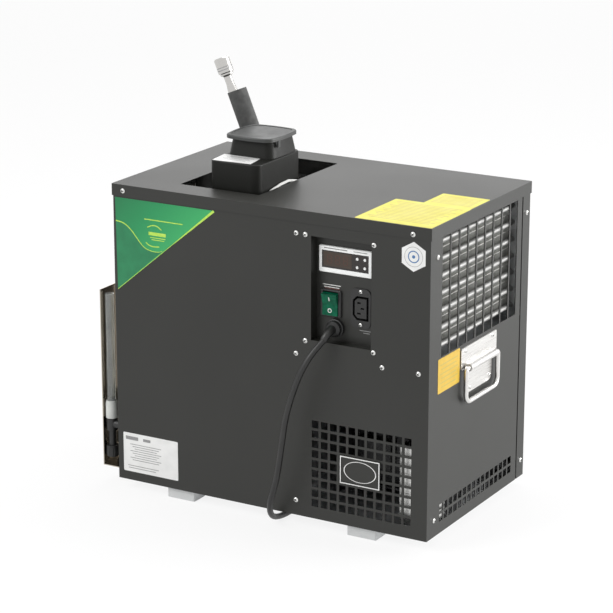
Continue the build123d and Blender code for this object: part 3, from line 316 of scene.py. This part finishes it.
grey_print = film("grey_print", (0.2, 0.2, 0.2), (0.3, 0.3, 0.3), 900)
pale_print = film("pale_print", (0.6, 0.6, 0.58), (0.74, 0.74, 0.72), 900)
ochre_print = film("ochre_print", (0.34, 0.27, 0.05), (0.45, 0.36, 0.08), 900)
blue_print = film("blue_print", (0.03, 0.12, 0.3), (0.05, 0.17, 0.38), 900)
red_print = film("red_print", (0.13, 0.03, 0.02), (0.19, 0.045, 0.03), 900)
lime_print = film("lime_print", (0.36, 0.6, 0.05), (0.48, 0.72, 0.1), 300)
dim_segment = film("dim_segment", (0.055, 0.02, 0.012), (0.075, 0.026, 0.015), 300)
smoked_pane = film("smoked_pane", (0.035, 0.022, 0.014), (0.046, 0.03, 0.019), 40)
slots_of_finish = {m.name: slot for slot, m in finishes.items()}
for m in (drawn_across, turned_steel, mirror_steel, zinc):
    slots_of_finish[m.name] = "stainless"
for m in (white_film, yellow_film, orange_film, pale_print, grey_print, ochre_print, blue_print, red_print):
    slots_of_finish[m.name] = "white_plastic"
slots_of_finish[lime_print.name] = "green_plastic"
slots_of_finish[dim_segment.name] = "window"
slots_of_finish[smoked_pane.name] = "window"


def finish_nodes():
    across = ("handle_plate_right", "handle_plate_left", "handle_bail_right", "handle_bail_left")
    for part in frame["record"]["subparts"]:
        name = part["node"]
        obj = nodes[name]
        obj.data.materials.clear()
        finish = finishes[part["material_slot"]]
        if name in across:
            finish = drawn_across
        if name == "drain_guard":
            finish = mirror_steel
        if name == "union_nut":
            finish = turned_steel
        if name == "relay_box":
            finish = zinc
        obj.data.materials.append(finish)


finish_nodes()


# Making pieces
def add(name, bm, finish, body="root", sharp=35):
    bmesh.ops.remove_doubles(bm, verts=bm.verts, dist=1e-7)
    bmesh.ops.recalc_face_normals(bm, faces=bm.faces)
    mesh = bpy.data.meshes.new(name)
    bm.to_mesh(mesh)
    bm.free()
    mesh.shade_smooth()
    mesh.set_sharp_from_angle(angle=math.radians(sharp))
    mesh.materials.append(finish)
    piece = bpy.data.objects.new(name, mesh)
    scene.collection.objects.link(piece)
    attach(piece, body)
    return piece


def flat_shape(bm, points, out, thickness, corner=0.0, sink=0.05):
    """Adds a thin plate: an outline on a surface, grown outwards; its base is sunk a hair."""
    verts = [bm.verts.new(p - out * sink / 1000) for p in points]
    face = bm.faces.new(verts)
    if corner:
        bmesh.ops.bevel(bm, geom=list(face.verts), affect="VERTICES", offset=corner / 1000,
                        segments=5, profile=0.5, material=-1)
        face = max(bm.faces, key=lambda f: f.index) if not face.is_valid else face
    grown = bmesh.ops.extrude_face_region(bm, geom=[face])
    moved = [v for v in grown["geom"] if isinstance(v, bmesh.types.BMVert)]
    bmesh.ops.translate(bm, verts=moved, vec=out * (thickness + sink) / 1000)
    return moved


def rectangle(centre, across, up, width, height):
    a, b = across * width / 2000, up * height / 2000
    return [centre - a - b, centre + a - b, centre + a + b, centre - a + b]


def label(name, centre, across, up, width, height, finish, thickness=0.25, corner=1.5):
    bm = bmesh.new()
    out = across.cross(up)
    flat_shape(bm, rectangle(centre, across, up, width, height), out, thickness, corner)
    return add(name, bm, finish)


def print_rows(name, centre, across, up, rows, finish, lift=0.25, body="root"):
    """Fine bars that stand for lines of small print: (offset across, offset up, length, height)."""
    bm = bmesh.new()
    out = across.cross(up)
    for dx, dz, length, height in rows:
        middle = centre + (across * dx + up * dz + out * lift) / 1000
        flat_shape(bm, rectangle(middle, across, up, length, height), out, 0.06)
    return add(name, bm, finish, body)


def turned(bm, profile, place, steps=24, stretch=(1, 1, 1)):
    """Spins a profile of (radius, height) in millimetres round Z, then puts it in place."""
    verts = [bm.verts.new((r / 1000, 0, z / 1000)) for r, z in profile]
    edges = [bm.edges.new(pair) for pair in zip(verts, verts[1:])]
    before = set(bm.verts) - set(verts)
    bmesh.ops.spin(bm, geom=verts + edges, cent=(0, 0, 0), axis=(0, 0, 1), angle=math.tau, steps=steps,
                   use_merge=True)
    made = [v for v in bm.verts if v not in before]
    bmesh.ops.remove_doubles(bm, verts=made, dist=1e-7)
    made = [v for v in bm.verts if v not in before]
    bmesh.ops.transform(bm, verts=made, matrix=place @ Matrix.Diagonal((*stretch, 1)))


def facing(point, direction):
    """A place whose Z points along a direction."""
    return Matrix.Translation(point) @ Z.rotation_difference(direction).to_matrix().to_4x4()


RECESS_BAR = (0.0044, 0.0011, 0.0018)
RECESS_MIDDLE = 0.0019
RECESS_REACH = 0.0023
RECESS_FLOOR = 0.0012


def cross_head():
    """One screw head with a cross recess, cut once and copied for every screw."""
    bm = bmesh.new()
    turned(bm, [(0, 2.1), (1.5, 2.0), (2.7, 1.45), (3.4, 0.55), (3.4, -0.2), (0, -0.2)], Matrix(), 20)
    head = bpy.data.meshes.new("screw_head")
    bmesh.ops.recalc_face_normals(bm, faces=bm.faces)
    bm.to_mesh(head)
    bm.free()
    bm = bmesh.new()
    for turn in (0, math.pi / 2):
        bar = Matrix.Translation((0, 0, RECESS_MIDDLE)) @ Matrix.Diagonal((*RECESS_BAR, 1))
        spot = Matrix.Rotation(turn, 4, "Z") @ bar
        bmesh.ops.create_cube(bm, size=1.0, matrix=spot)
    cutter = bpy.data.meshes.new("recess")
    bm.to_mesh(cutter)
    bm.free()
    blank = bpy.data.objects.new("screw_blank", head)
    tool = bpy.data.objects.new("recess_tool", cutter)
    for obj in (blank, tool):
        scene.collection.objects.link(obj)
    cut = blank.modifiers.new("recess", "BOOLEAN")
    cut.operation = "DIFFERENCE"
    cut.solver = "EXACT"
    cut.use_self = True
    cut.object = tool
    done = bpy.data.meshes.new_from_object(blank.evaluated_get(bpy.context.evaluated_depsgraph_get()))
    for obj in (blank, tool):
        bpy.data.objects.remove(obj)
    # Faces inside the cross recess get material index 1, a black finish: painted shade in the recess.
    for face in done.polygons:
        near = math.hypot(face.center.x, face.center.y) < RECESS_REACH
        painted_shade_face = near and face.center.z > 0 and (abs(face.normal.z) < 0.3 or face.center.z < RECESS_FLOOR)
        face.material_index = 1 if painted_shade_face else 0
    return done


SCREW = cross_head()


def screws(name, places, direction, body="root", size=1.0):
    bm = bmesh.new()
    for n, point in enumerate(places):
        before = set(bm.verts)
        bm.from_mesh(SCREW)
        place = facing(point, direction) @ Matrix.Rotation(n * 0.7, 4, "Z") @ Matrix.Scale(size, 4)
        bmesh.ops.transform(bm, verts=[v for v in bm.verts if v not in before], matrix=place)
    piece = add(name, bm, zinc, body)
    # The second finish, black plastic, is painted shade on the recess walls and floors.
    piece.data.materials.append(finishes["black_plastic"])
    return piece


# Mains cord
CORD = 0.008
COIL_CENTRE = (-0.02365, 0.2076)
PLUG_ENTRY = (-0.0552, 0.2486, 0.0185)
cord_route = [
    (0.10275, -0.1585, 0.266), (0.09415, -0.172, 0.2522), (0.08555, -0.18, 0.233), (0.07575, -0.182, 0.2102),
    (0.06035, -0.181, 0.1652), (0.05375, -0.18, 0.1225), (0.04505, -0.179, 0.071), (0.03125, -0.1775, 0.031),
    (0.02475, -0.151, 0.004), (0.02875, -0.09, 0.004), (0.03175, -0.015, 0.004), (0.03125, 0.06, 0.004),
    (0.02775, 0.12, 0.004), (0.02105, 0.184, 0.004),
]
# Turn angle in degrees, radius and height in millimetres: three turns lie below, two on top, the end rises.
coil_lay = [
    (6, 41, 4), (320, 41, 4), (400, 49, 4), (690, 49, 4), (750, 45, 10.9), (1040, 45, 10.9), (1085, 37, 12.2),
    (1125, 33, 4), (1400, 33, 4), (1470, 37, 10.9), (1730, 37, 10.9), (1830, 40, 17.6), (1890, 41, 18.3),
]


def between(table, angle):
    for (a, ra, za), (b, rb, zb) in zip(table, table[1:]):
        if angle <= b:
            part = (angle - a) / (b - a)
            ease = part * part * (3 - 2 * part)
            return ra + (rb - ra) * ease, za + (zb - za) * ease
    return table[-1][1:]


def coil_turns(step=18):
    """Points of the put-away turns, a little outside them, as the spline cuts inside its corners."""
    points = []
    for n in range(int((1890 - 6) / step) + 1):
        angle = 6 + n * step
        radius, height = between(coil_lay, angle)
        radius *= 1.0118 / 1000
        a = math.radians(angle)
        x, y = COIL_CENTRE
        points.append((x + radius * math.cos(a), y + radius * math.sin(a), height / 1000))
    return points


def make_cord():
    x, y, z = PLUG_ENTRY
    points = cord_route + coil_turns() + [(x + 0.018, y, z), (x - 0.001, y, z)]
    curve = bpy.data.curves.new("mains_cord", "CURVE")
    curve.dimensions = "3D"
    curve.bevel_depth = CORD / 2
    curve.bevel_resolution = 4
    curve.resolution_u = 6
    curve.use_fill_caps = True
    spline = curve.splines.new("NURBS")
    spline.points.add(len(points) - 1)
    for spot, point in zip(spline.points, points):
        spot.co = (*point, 1)
    spline.order_u = 3
    spline.use_endpoint_u = True
    curve.materials.append(finishes["cord_rubber"])
    cord = bpy.data.objects.new("mains_cord", curve)
    scene.collection.objects.link(cord)
    return cord


def make_tie():
    """Flat band round the coil's turns, with its lock."""
    bm = bmesh.new()
    turn = math.radians(200)
    out = Vector((math.cos(turn), math.sin(turn), 0))
    middle = Vector((*COIL_CENTRE, 0.0075)) + out * 0.041
    ring = [(0.0128, -0.0072), (0.0133, -0.0025), (0.0125, 0.0035), (0.0065, 0.0082), (-0.0065, 0.0082),
            (-0.0125, 0.0035), (-0.0133, -0.0025), (-0.0128, -0.0072)]
    loop = [middle + out * a + Z * b for a, b in ring]
    along = out.cross(Z) * 0.0024
    faces = []
    low = [bm.verts.new(p - along) for p in loop]
    high = [bm.verts.new(p + along) for p in loop]
    for n in range(len(loop)):
        m = (n + 1) % len(loop)
        faces.append(bm.faces.new((low[n], low[m], high[m], high[n])))
    bmesh.ops.recalc_face_normals(bm, faces=bm.faces)
    bmesh.ops.solidify(bm, geom=faces, thickness=0.0006)
    lock = Matrix.Translation(middle + out * 0.0095 + Z * 0.0078) @ Matrix.Rotation(turn, 4, "Z")
    bmesh.ops.create_cube(bm, size=1.0, matrix=lock @ Matrix.Diagonal((0.004, 0.006, 0.003, 1)))
    return add("cord_tie", bm, finishes["black_plastic"])


cord = make_cord()
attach(cord, "root")
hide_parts("power_cord", "cord_coil")
tie = make_tie()


# Screws
front = [(44, 384.1), (57.5, 383.8), (156.8, 382.9), (57.5, 242.4), (43.8, 223.3), (157.1, 241.8),
         (43.7, 21.1), (170, 224), (222, 224)]
screws("front_screws", [at(x, FRONT, z) for x, z in front], -Y)
screws("lid_front_screws", [at(x, FRONT - 1.5, z) for x, z in ((-220.5, 406.7), (212.5, 404.8))], -Y)
screws("lid_rear_screws", [at(x, REAR + 1.5, 406) for x in (-215, 0, 215)], Y)
screws("rear_screws", [at(x, REAR, z) for x in (-222, 222) for z in (24, 200, 374)], Y)
side = [(-125, 374), (-125, 23), (134.5, 374), (134.5, 24)]
screws("right_side_screws", [at(RIGHT, y, z) for y, z in side], X)
screws("left_side_screws", [at(LEFT, y, z) for y, z in side], -X)
grip = [(-45, 230), (34, 230), (-31, 177), (27, 178)]
screws("right_handle_screws", [at(RIGHT + 1.5, y, z) for y, z in grip], X, size=0.8)
screws("left_handle_screws", [at(LEFT - 1.5, y, z) for y, z in grip], -X, size=0.8)
screws("socket_screws", [at(OUTLET_X, -131, OUTLET_Z + dz) for dz in (-22, 22)], -Y, size=0.8)


# Stickers
def ribbon(bm, points, width, taper=1.0):
    """A flat strip along points of the front panel; its width may fall towards the end."""
    spots = [at(x, FRONT, z) - Y * 0.0003 for x, z in points]
    rail = []
    for n, spot in enumerate(spots):
        along = (spots[min(n + 1, len(spots) - 1)] - spots[max(n - 1, 0)]).normalized()
        side = along.cross(Y) * width / 2000 * (1 + (taper - 1) * n / (len(spots) - 1))
        rail.append((bm.verts.new(spot - side), bm.verts.new(spot + side)))
    faces = [bm.faces.new((a[0], a[1], b[1], b[0])) for a, b in zip(rail, rail[1:])]
    bmesh.ops.recalc_face_normals(bm, faces=faces)
    bmesh.ops.solidify(bm, geom=faces, thickness=0.0002)


def smooth(points, rounds=3):
    """Cuts the corners of an open line, so that a few given points make a soft curve."""
    for _ in range(rounds):
        cut = [points[0]]
        for (ax, az), (bx, bz) in zip(points, points[1:]):
            for share in (0.25, 0.75):
                cut.append((ax + share * (bx - ax), az + share * (bz - az)))
        points = cut + [points[-1]]
    return points


def corner_sticker():
    bm = bmesh.new()
    flat_shape(bm, [at(-234, FRONT, 396.8), at(-232, FRONT, 269.4), at(-78.4, FRONT, 397.2)], -Y, 0.2)
    add("corner_sticker", bm, green_film_finish)
    sweep = smooth([(-233.4, 364.6), (-220.2, 363.1), (-208, 354), (-199, 343), (-189.5, 333), (-179, 329.6),
                    (-167.4, 329.2), (-160.5, 331.5)])
    bm = bmesh.new()
    flat_shape(bm, [at(x, FRONT, z) for x, z in [(-232.2, 270.6)] + sweep[::-1]][::-1], -Y, 0.24)
    add("corner_sticker_shade", bm, shade_film)
    bm = bmesh.new()
    ribbon(bm, sweep, 1.5, 0.45)
    ribbon(bm, [(-232, 270), (-140.6, 345.9)], 0.7, 0.9)
    ribbon(bm, [(-79.6, 396.7), (-105.2, 375.3), (-142, 344.7)], 3.4, 0.3)
    ribbon(bm, smooth([(-183.3, 361.6), (-176, 365.2), (-168, 365.2), (-161.2, 360.3)]), 1.3)
    ribbon(bm, smooth([(-186.0, 340.7), (-181.6, 337.4), (-175.0, 335.9), (-165.0, 337.0)]), 1.4)
    add("corner_sticker_sweep", bm, lime_print)
    print_rows("corner_sticker_lines", at(-168, FRONT, 350), X, Z,
               [(0, 3.6, 27, 4.6), (1, -1.6, 24, 1.1), (1, -4.4, 20, 1.1), (10, 22.4, 60, 1.3)],
               lime_print, 0.2)


green_film_finish = green_film()
shade_film = film("shade_film", (0.006, 0.16, 0.06), (0.01, 0.2, 0.075))
slots_of_finish[shade_film.name] = "green_plastic"
slots_of_finish[green_film_finish.name] = "green_plastic"
corner_sticker()
label("rating_label", at(-184.5, FRONT, 40.2), X, Z, 88, 55.5, white_film)
rating_rows = [(-8, 12 - 3.2 * n, 50 - 7 * (n % 3), 0.9) for n in range(8)]
rating_rows += [(-30, 20.5, 20, 5.0), (-6, 20.5, 12, 4.0), (-12, -19, 50, 0.9), (-14, -22.2, 44, 0.9)]
print_rows("rating_lines", at(-184.5, FRONT, 40.2), X, Z, rating_rows, grey_print)


def hexagon_sticker():
    bm = bmesh.new()
    centre = at(213, FRONT, 375.7)
    points = [centre + Vector((16.6 * a, 0, 19.35 * b)) / 1000
              for a, b in ((0, 1), (-1, 0.5), (-1, -0.5), (0, -1), (1, -0.5), (1, 0.5))]
    flat_shape(bm, points, -Y, 0.25)
    add("hexagon_sticker", bm, white_film)
    bm = bmesh.new()
    place = Matrix.Translation(at(213, FRONT - 0.25, 375.7)) @ Matrix.Rotation(math.radians(90), 4, "X")
    turned(bm, [(6.6, -0.05), (8.0, -0.05), (8.0, 0.06), (6.6, 0.06), (6.6, -0.05)], place, 40)
    turned(bm, [(0, 0.06), (2.2, 0.06), (2.2, -0.05), (0, -0.05)], place, 24)
    add("hexagon_ring", bm, blue_print)
    bm = bmesh.new()
    turned(bm, [(12.4, -0.05), (12.9, -0.05), (12.9, 0.06), (12.4, 0.06), (12.4, -0.05)], place, 40)
    add("hexagon_circle", bm, grey_print)


hexagon_sticker()
label("lid_sheet_front", at(182.5, -88, LID_TOP), X, Y, 109, 112, yellow_film, corner=2)
label("lid_sheet_rear", at(202, -4, LID_TOP), X, Y, 68, 56, yellow_film, corner=2)
front_rows = [(0, 44 - 6.5 * n, 94 - 9 * (n % 3), 1.6) for n in range(14)]
print_rows("lid_sheet_lines", at(182.5, -87.5, LID_TOP), X, Y, front_rows, ochre_print)
rear_rows = [(0, 18 - 6 * n, 56, 1.4) for n in range(7)]
print_rows("lid_sheet_rear_lines", at(202, -4, LID_TOP), X, Y, rear_rows, ochre_print)
label("side_label", at(RIGHT, -89.5, 215), Y, Z, 61, 46, orange_film)
side_rows = [(0, 14 - 6 * n, 50 - 8 * (n % 2), 1.4) for n in range(6)]
print_rows("side_label_lines", at(RIGHT, -89.5, 215), Y, Z, side_rows, ochre_print)


def pump_label():
    top = LID_TOP + 36
    bm = bmesh.new()
    corners = [at(-117, -57, top), at(-113, -94, top), at(-56, -91, top), at(-61, -58, top)]
    flat_shape(bm, corners, Z, 0.25)
    add("pump_label", bm, white_film)
    rows = [(0, 9 - 5 * n, 42 - 8 * (n % 2), 1.1) for n in range(4)]
    print_rows("pump_label_lines", at(-87, -75, top), X, Y, rows, grey_print)


pump_label()


# Name plate on the grille: a bare oval in a bright border
def plate_trim():
    low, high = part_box("name_plate")
    y = low[1]
    centre = Vector(((low[0] + high[0]) / 2, y, (low[2] + high[2]) / 2))
    width, height = high[0] - low[0], high[2] - low[2]
    bar = 1.3
    across, up = width * 1000 - 1.0, height * 1000 - 1.0
    bm = bmesh.new()
    for side in (-1, 1):
        level = centre + Z * side * (up - bar) / 2000
        flat_shape(bm, rectangle(level, X, Z, across, bar), -Y, 0.15)
        upright = centre + X * side * (across - bar) / 2000
        flat_shape(bm, rectangle(upright, X, Z, bar, up - 2 * bar), -Y, 0.15)
    add("plate_border", bm, white_film)
    bm = bmesh.new()
    place = Matrix.Translation((centre.x, y + 0.0008, centre.z)) @ Matrix.Rotation(math.radians(90), 4, "X")
    turned(bm, [(22.6, -0.1), (23.8, -0.1), (23.8, 0.25), (22.6, 0.25), (22.6, -0.1)], place, 64, (1, 0.6, 1))
    add("plate_oval", bm, white_film)


plate_trim()


# Controller, switch and outlet
def controller_face():
    low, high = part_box("controller_window")
    centre = Vector(((low[0] + high[0]) / 2, low[1], (low[2] + high[2]) / 2))
    pane = centre + Vector((-0.011, 0, 0.0005))
    bm = bmesh.new()
    flat_shape(bm, rectangle(pane, X, Z, 41, 19), -Y, 0.1, 1.0)
    add("display_pane", bm, smoked_pane)
    bm = bmesh.new()
    for n in range(3):
        digit(bm, pane + Vector((-0.0115 + 0.0115 * n, -0.0001, 0)))
    add("display_segments", bm, dim_segment)
    low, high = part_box("controller_body")
    bezel = Vector(((low[0] + high[0]) / 2, low[1], high[2]))
    rows = [(-14, 0, 34, 1.3), (22, 0, 20, 1.0)]
    print_rows("bezel_lines", bezel - Z * 0.0031, X, Z, rows, grey_print, 0.02)


def digit(bm, centre):
    """Seven dark bars of a number that isn't lit."""
    w, h, bar = 6.0, 11.0, 1.1
    level = [(0, h / 2), (0, 0), (0, -h / 2)]
    upright = [(-w / 2, h / 4), (w / 2, h / 4), (-w / 2, -h / 4), (w / 2, -h / 4)]
    for dx, dz in level:
        flat_shape(bm, rectangle(centre + Vector((dx, 0, dz)) / 1000, X, Z, w - bar - 0.5, bar), -Y, 0.05)
    for dx, dz in upright:
        flat_shape(bm, rectangle(centre + Vector((dx, 0, dz)) / 1000, X, Z, bar, h / 2 - bar - 0.3), -Y, 0.05)


controller_face()
ROCKER_TILT = math.radians(8)


def rocker_spot(along, lift):
    """A point over the rocker's front, from its middle along its length, with the rocker as it rests."""
    face = -6.2 - 2.3 * abs(along) / 14.5 - lift
    c, s = math.cos(ROCKER_TILT), math.sin(ROCKER_TILT)
    return at(SWITCH_X, -128.5 + face * c - along * s, SWITCH_Z + face * s + along * c)


def rocker_marks():
    for name, along in (("on_mark", 8.0), ("off_mark", -8.0)):
        up = (rocker_spot(along + 1, 0) - rocker_spot(along, 0)).normalized()
        out = X.cross(up)
        centre = rocker_spot(along, 0.0)
        bm = bmesh.new()
        if name == "on_mark":
            flat_shape(bm, rectangle(centre, X, up, 1.2, 5.6), out, 0.12)
        else:
            ring = [(1.9, -0.05), (3.0, -0.05), (3.0, 0.12), (1.9, 0.12), (1.9, -0.05)]
            turned(bm, ring, facing(centre, out), 32)
        add(name, bm, pale_print, "rocker")


rocker_marks()


def outlet_contacts():
    bm = bmesh.new()
    for dx, dz in ((-2.5, 7.0), (2.5, 0.0), (-2.5, -7.0)):
        middle = at(OUTLET_X + dx, -121.5, OUTLET_Z + dz)
        spot = Matrix.Translation(middle) @ Matrix.Diagonal((0.0046, 0.007, 0.0008, 1))
        for side in (-0.0006, 0.0006):
            bmesh.ops.create_cube(bm, size=1.0, matrix=Matrix.Translation((0, 0, side)) @ spot)
    add("outlet_contacts", bm, zinc)


outlet_contacts()
switch_rows = [(0, 1.6, 26, 1.0), (0, -1.4, 22, 1.0)]
print_rows("switch_lines", at(SWITCH_X, TRAY_FACE, 316), X, Z, switch_rows, pale_print, 0.0)
print_rows("switch_underline", at(SWITCH_X, TRAY_FACE, 312.9), X, Z, [(1, 0, 22, 0.8)], red_print, 0.0)
outlet_rows = [(0, 1.5, 16, 0.9), (2, -1.5, 9, 0.9)]
print_rows("outlet_lines", at(OUTLET_X + 6, TRAY_FACE, 262), X, Z, outlet_rows, grey_print, 0.0)


# Union on the riser: dark rings on the nut as painted shade of its grooves, a collar and a tapered neck down
# to the foam
def riser_union():
    low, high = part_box("union_nut")
    lean = math.radians(RISER_LEAN)
    along = Vector((-math.sin(lean), 0, math.cos(lean)))
    foot = (Vector(low) + Vector(high)) / 2 - along * NUT_LENGTH / 2
    place = facing(foot, along)
    bm = bmesh.new()
    # Two dark steel rings sit on the nut's surface where its grooves are: painted shade of the grooves.
    for height in (5.2, 8.6):
        band = [(10.5, height), (11.06, height), (11.06, height + 1.1), (10.5, height + 1.1), (10.5, height)]
        turned(bm, band, place, 40)
    add("nut_painted_groove_shade", bm, finishes["motor_steel"])
    bm = bmesh.new()
    neck = [(0, 0.4), (9.2, 0.4), (9.2, -1.6), (7.2, -2.6), (5.9, -4), (5.6, -14), (6.9, -24), (7.3, -46),
            (0, -46)]
    turned(bm, neck, place, 40)
    add("riser_neck", bm, turned_steel)


riser_union()


# Condenser fins: the real stack's thin plates over the plain comb
def make_fins():
    low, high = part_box("condenser_fins")
    bm = bmesh.new()
    pitch, gauge = 0.0019, 0.0003
    count = int((high[1] - low[1]) / pitch)
    for n in range(count + 1):
        y = low[1] + n * pitch
        spot = Vector(((low[0] + high[0]) / 2, min(y, high[1] - gauge), (low[2] + high[2]) / 2))
        size = (high[0] - low[0], gauge, high[2] - low[2], 1)
        bmesh.ops.create_cube(bm, size=1.0, matrix=Matrix.Translation(spot) @ Matrix.Diagonal(size))
    row = 0.0229
    for n in range(7):
        for rise in (0.0, row / 2):
            z = 0.2635 + n * row + rise
            if z < high[2]:
                spot = Vector(((low[0] + high[0]) / 2, (low[1] + high[1]) / 2, z))
                size = (high[0] - low[0] + 0.0001, high[1] - low[1], 0.0011, 1)
                bmesh.ops.create_cube(bm, size=1.0, matrix=Matrix.Translation(spot) @ Matrix.Diagonal(size))
    fins = add("condenser_fin_stack", bm, finishes["aluminium"])
    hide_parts("condenser_fins")


make_fins()


# Floor and light
FLOOR_GLOW = 0.83
ROOM_LIGHT = 0.55
AIM = Vector((0, 0, 0.22))


def make_floor():
    bm = bmesh.new()
    bmesh.ops.create_grid(bm, x_segments=1, y_segments=1, size=12)
    mesh = bpy.data.meshes.new("floor")
    bm.to_mesh(mesh)
    bm.free()
    floor = bpy.data.objects.new("floor", mesh)
    scene.collection.objects.link(floor)
    material = bpy.data.materials.new("pale_floor")
    material.use_nodes = True
    tree = material.node_tree
    shader = tree.nodes["Principled BSDF"]
    shader.inputs["Base Color"].default_value = (0.9, 0.9, 0.9, 1)
    shader.inputs["Roughness"].default_value = 0.9
    glow = tree.nodes.new("ShaderNodeEmission")
    mix = tree.nodes.new("ShaderNodeMixShader")
    rays = tree.nodes.new("ShaderNodeLightPath")
    seen = seen_rays(tree, rays)
    share = tree.nodes.new("ShaderNodeMath")
    share.operation = "MULTIPLY"
    share.inputs[1].default_value = FLOOR_GLOW
    tree.links.new(seen, share.inputs[0])
    tree.links.new(share.outputs[0], mix.inputs[0])
    tree.links.new(shader.outputs[0], mix.inputs[1])
    tree.links.new(glow.outputs[0], mix.inputs[2])
    tree.links.new(mix.outputs[0], tree.nodes["Material Output"].inputs["Surface"])
    mesh.materials.append(material)


def seen_rays(tree, rays):
    """One for rays from the camera, from gloss and through glass."""
    first = tree.nodes.new("ShaderNodeMath")
    first.operation = "MAXIMUM"
    tree.links.new(rays.outputs["Is Camera Ray"], first.inputs[0])
    tree.links.new(rays.outputs["Is Glossy Ray"], first.inputs[1])
    second = tree.nodes.new("ShaderNodeMath")
    second.operation = "MAXIMUM"
    tree.links.new(first.outputs[0], second.inputs[0])
    tree.links.new(rays.outputs["Is Transmission Ray"], second.inputs[1])
    return second.outputs[0]


def make_world():
    world = bpy.data.worlds.new("studio")
    scene.world = world
    world.use_nodes = True
    tree = world.node_tree
    back = tree.nodes["Background"]
    back.inputs["Color"].default_value = (1, 1, 1, 1)
    rays = tree.nodes.new("ShaderNodeLightPath")
    strength = tree.nodes.new("ShaderNodeMapRange")
    strength.inputs["To Min"].default_value = ROOM_LIGHT
    strength.inputs["To Max"].default_value = 1.0
    tree.links.new(seen_rays(tree, rays), strength.inputs["Value"])
    tree.links.new(strength.outputs["Result"], back.inputs["Strength"])


def softbox(name, place, size, power):
    lamp = bpy.data.lights.new(name, "AREA")
    lamp.size = size
    lamp.energy = power
    obj = bpy.data.objects.new(name, lamp)
    scene.collection.objects.link(obj)
    aim = AIM - Vector(place)
    obj.visible_camera = False
    obj.matrix_world = Matrix.Translation(place) @ aim.to_track_quat("-Z", "Y").to_matrix().to_4x4()


make_floor()
make_world()
softbox("key_light", (-1.5, -2.2, 2.3), 1.6, 55)
softbox("side_light", (2.5, 1.5, 0.8), 1.8, 95)
softbox("top_light", (0.1, 0.6, 2.6), 1.6, 26)
softbox("rear_light", (-2.4, 4.8, 1.6), 4.0, 42)
scene.view_settings.view_transform = "Standard"
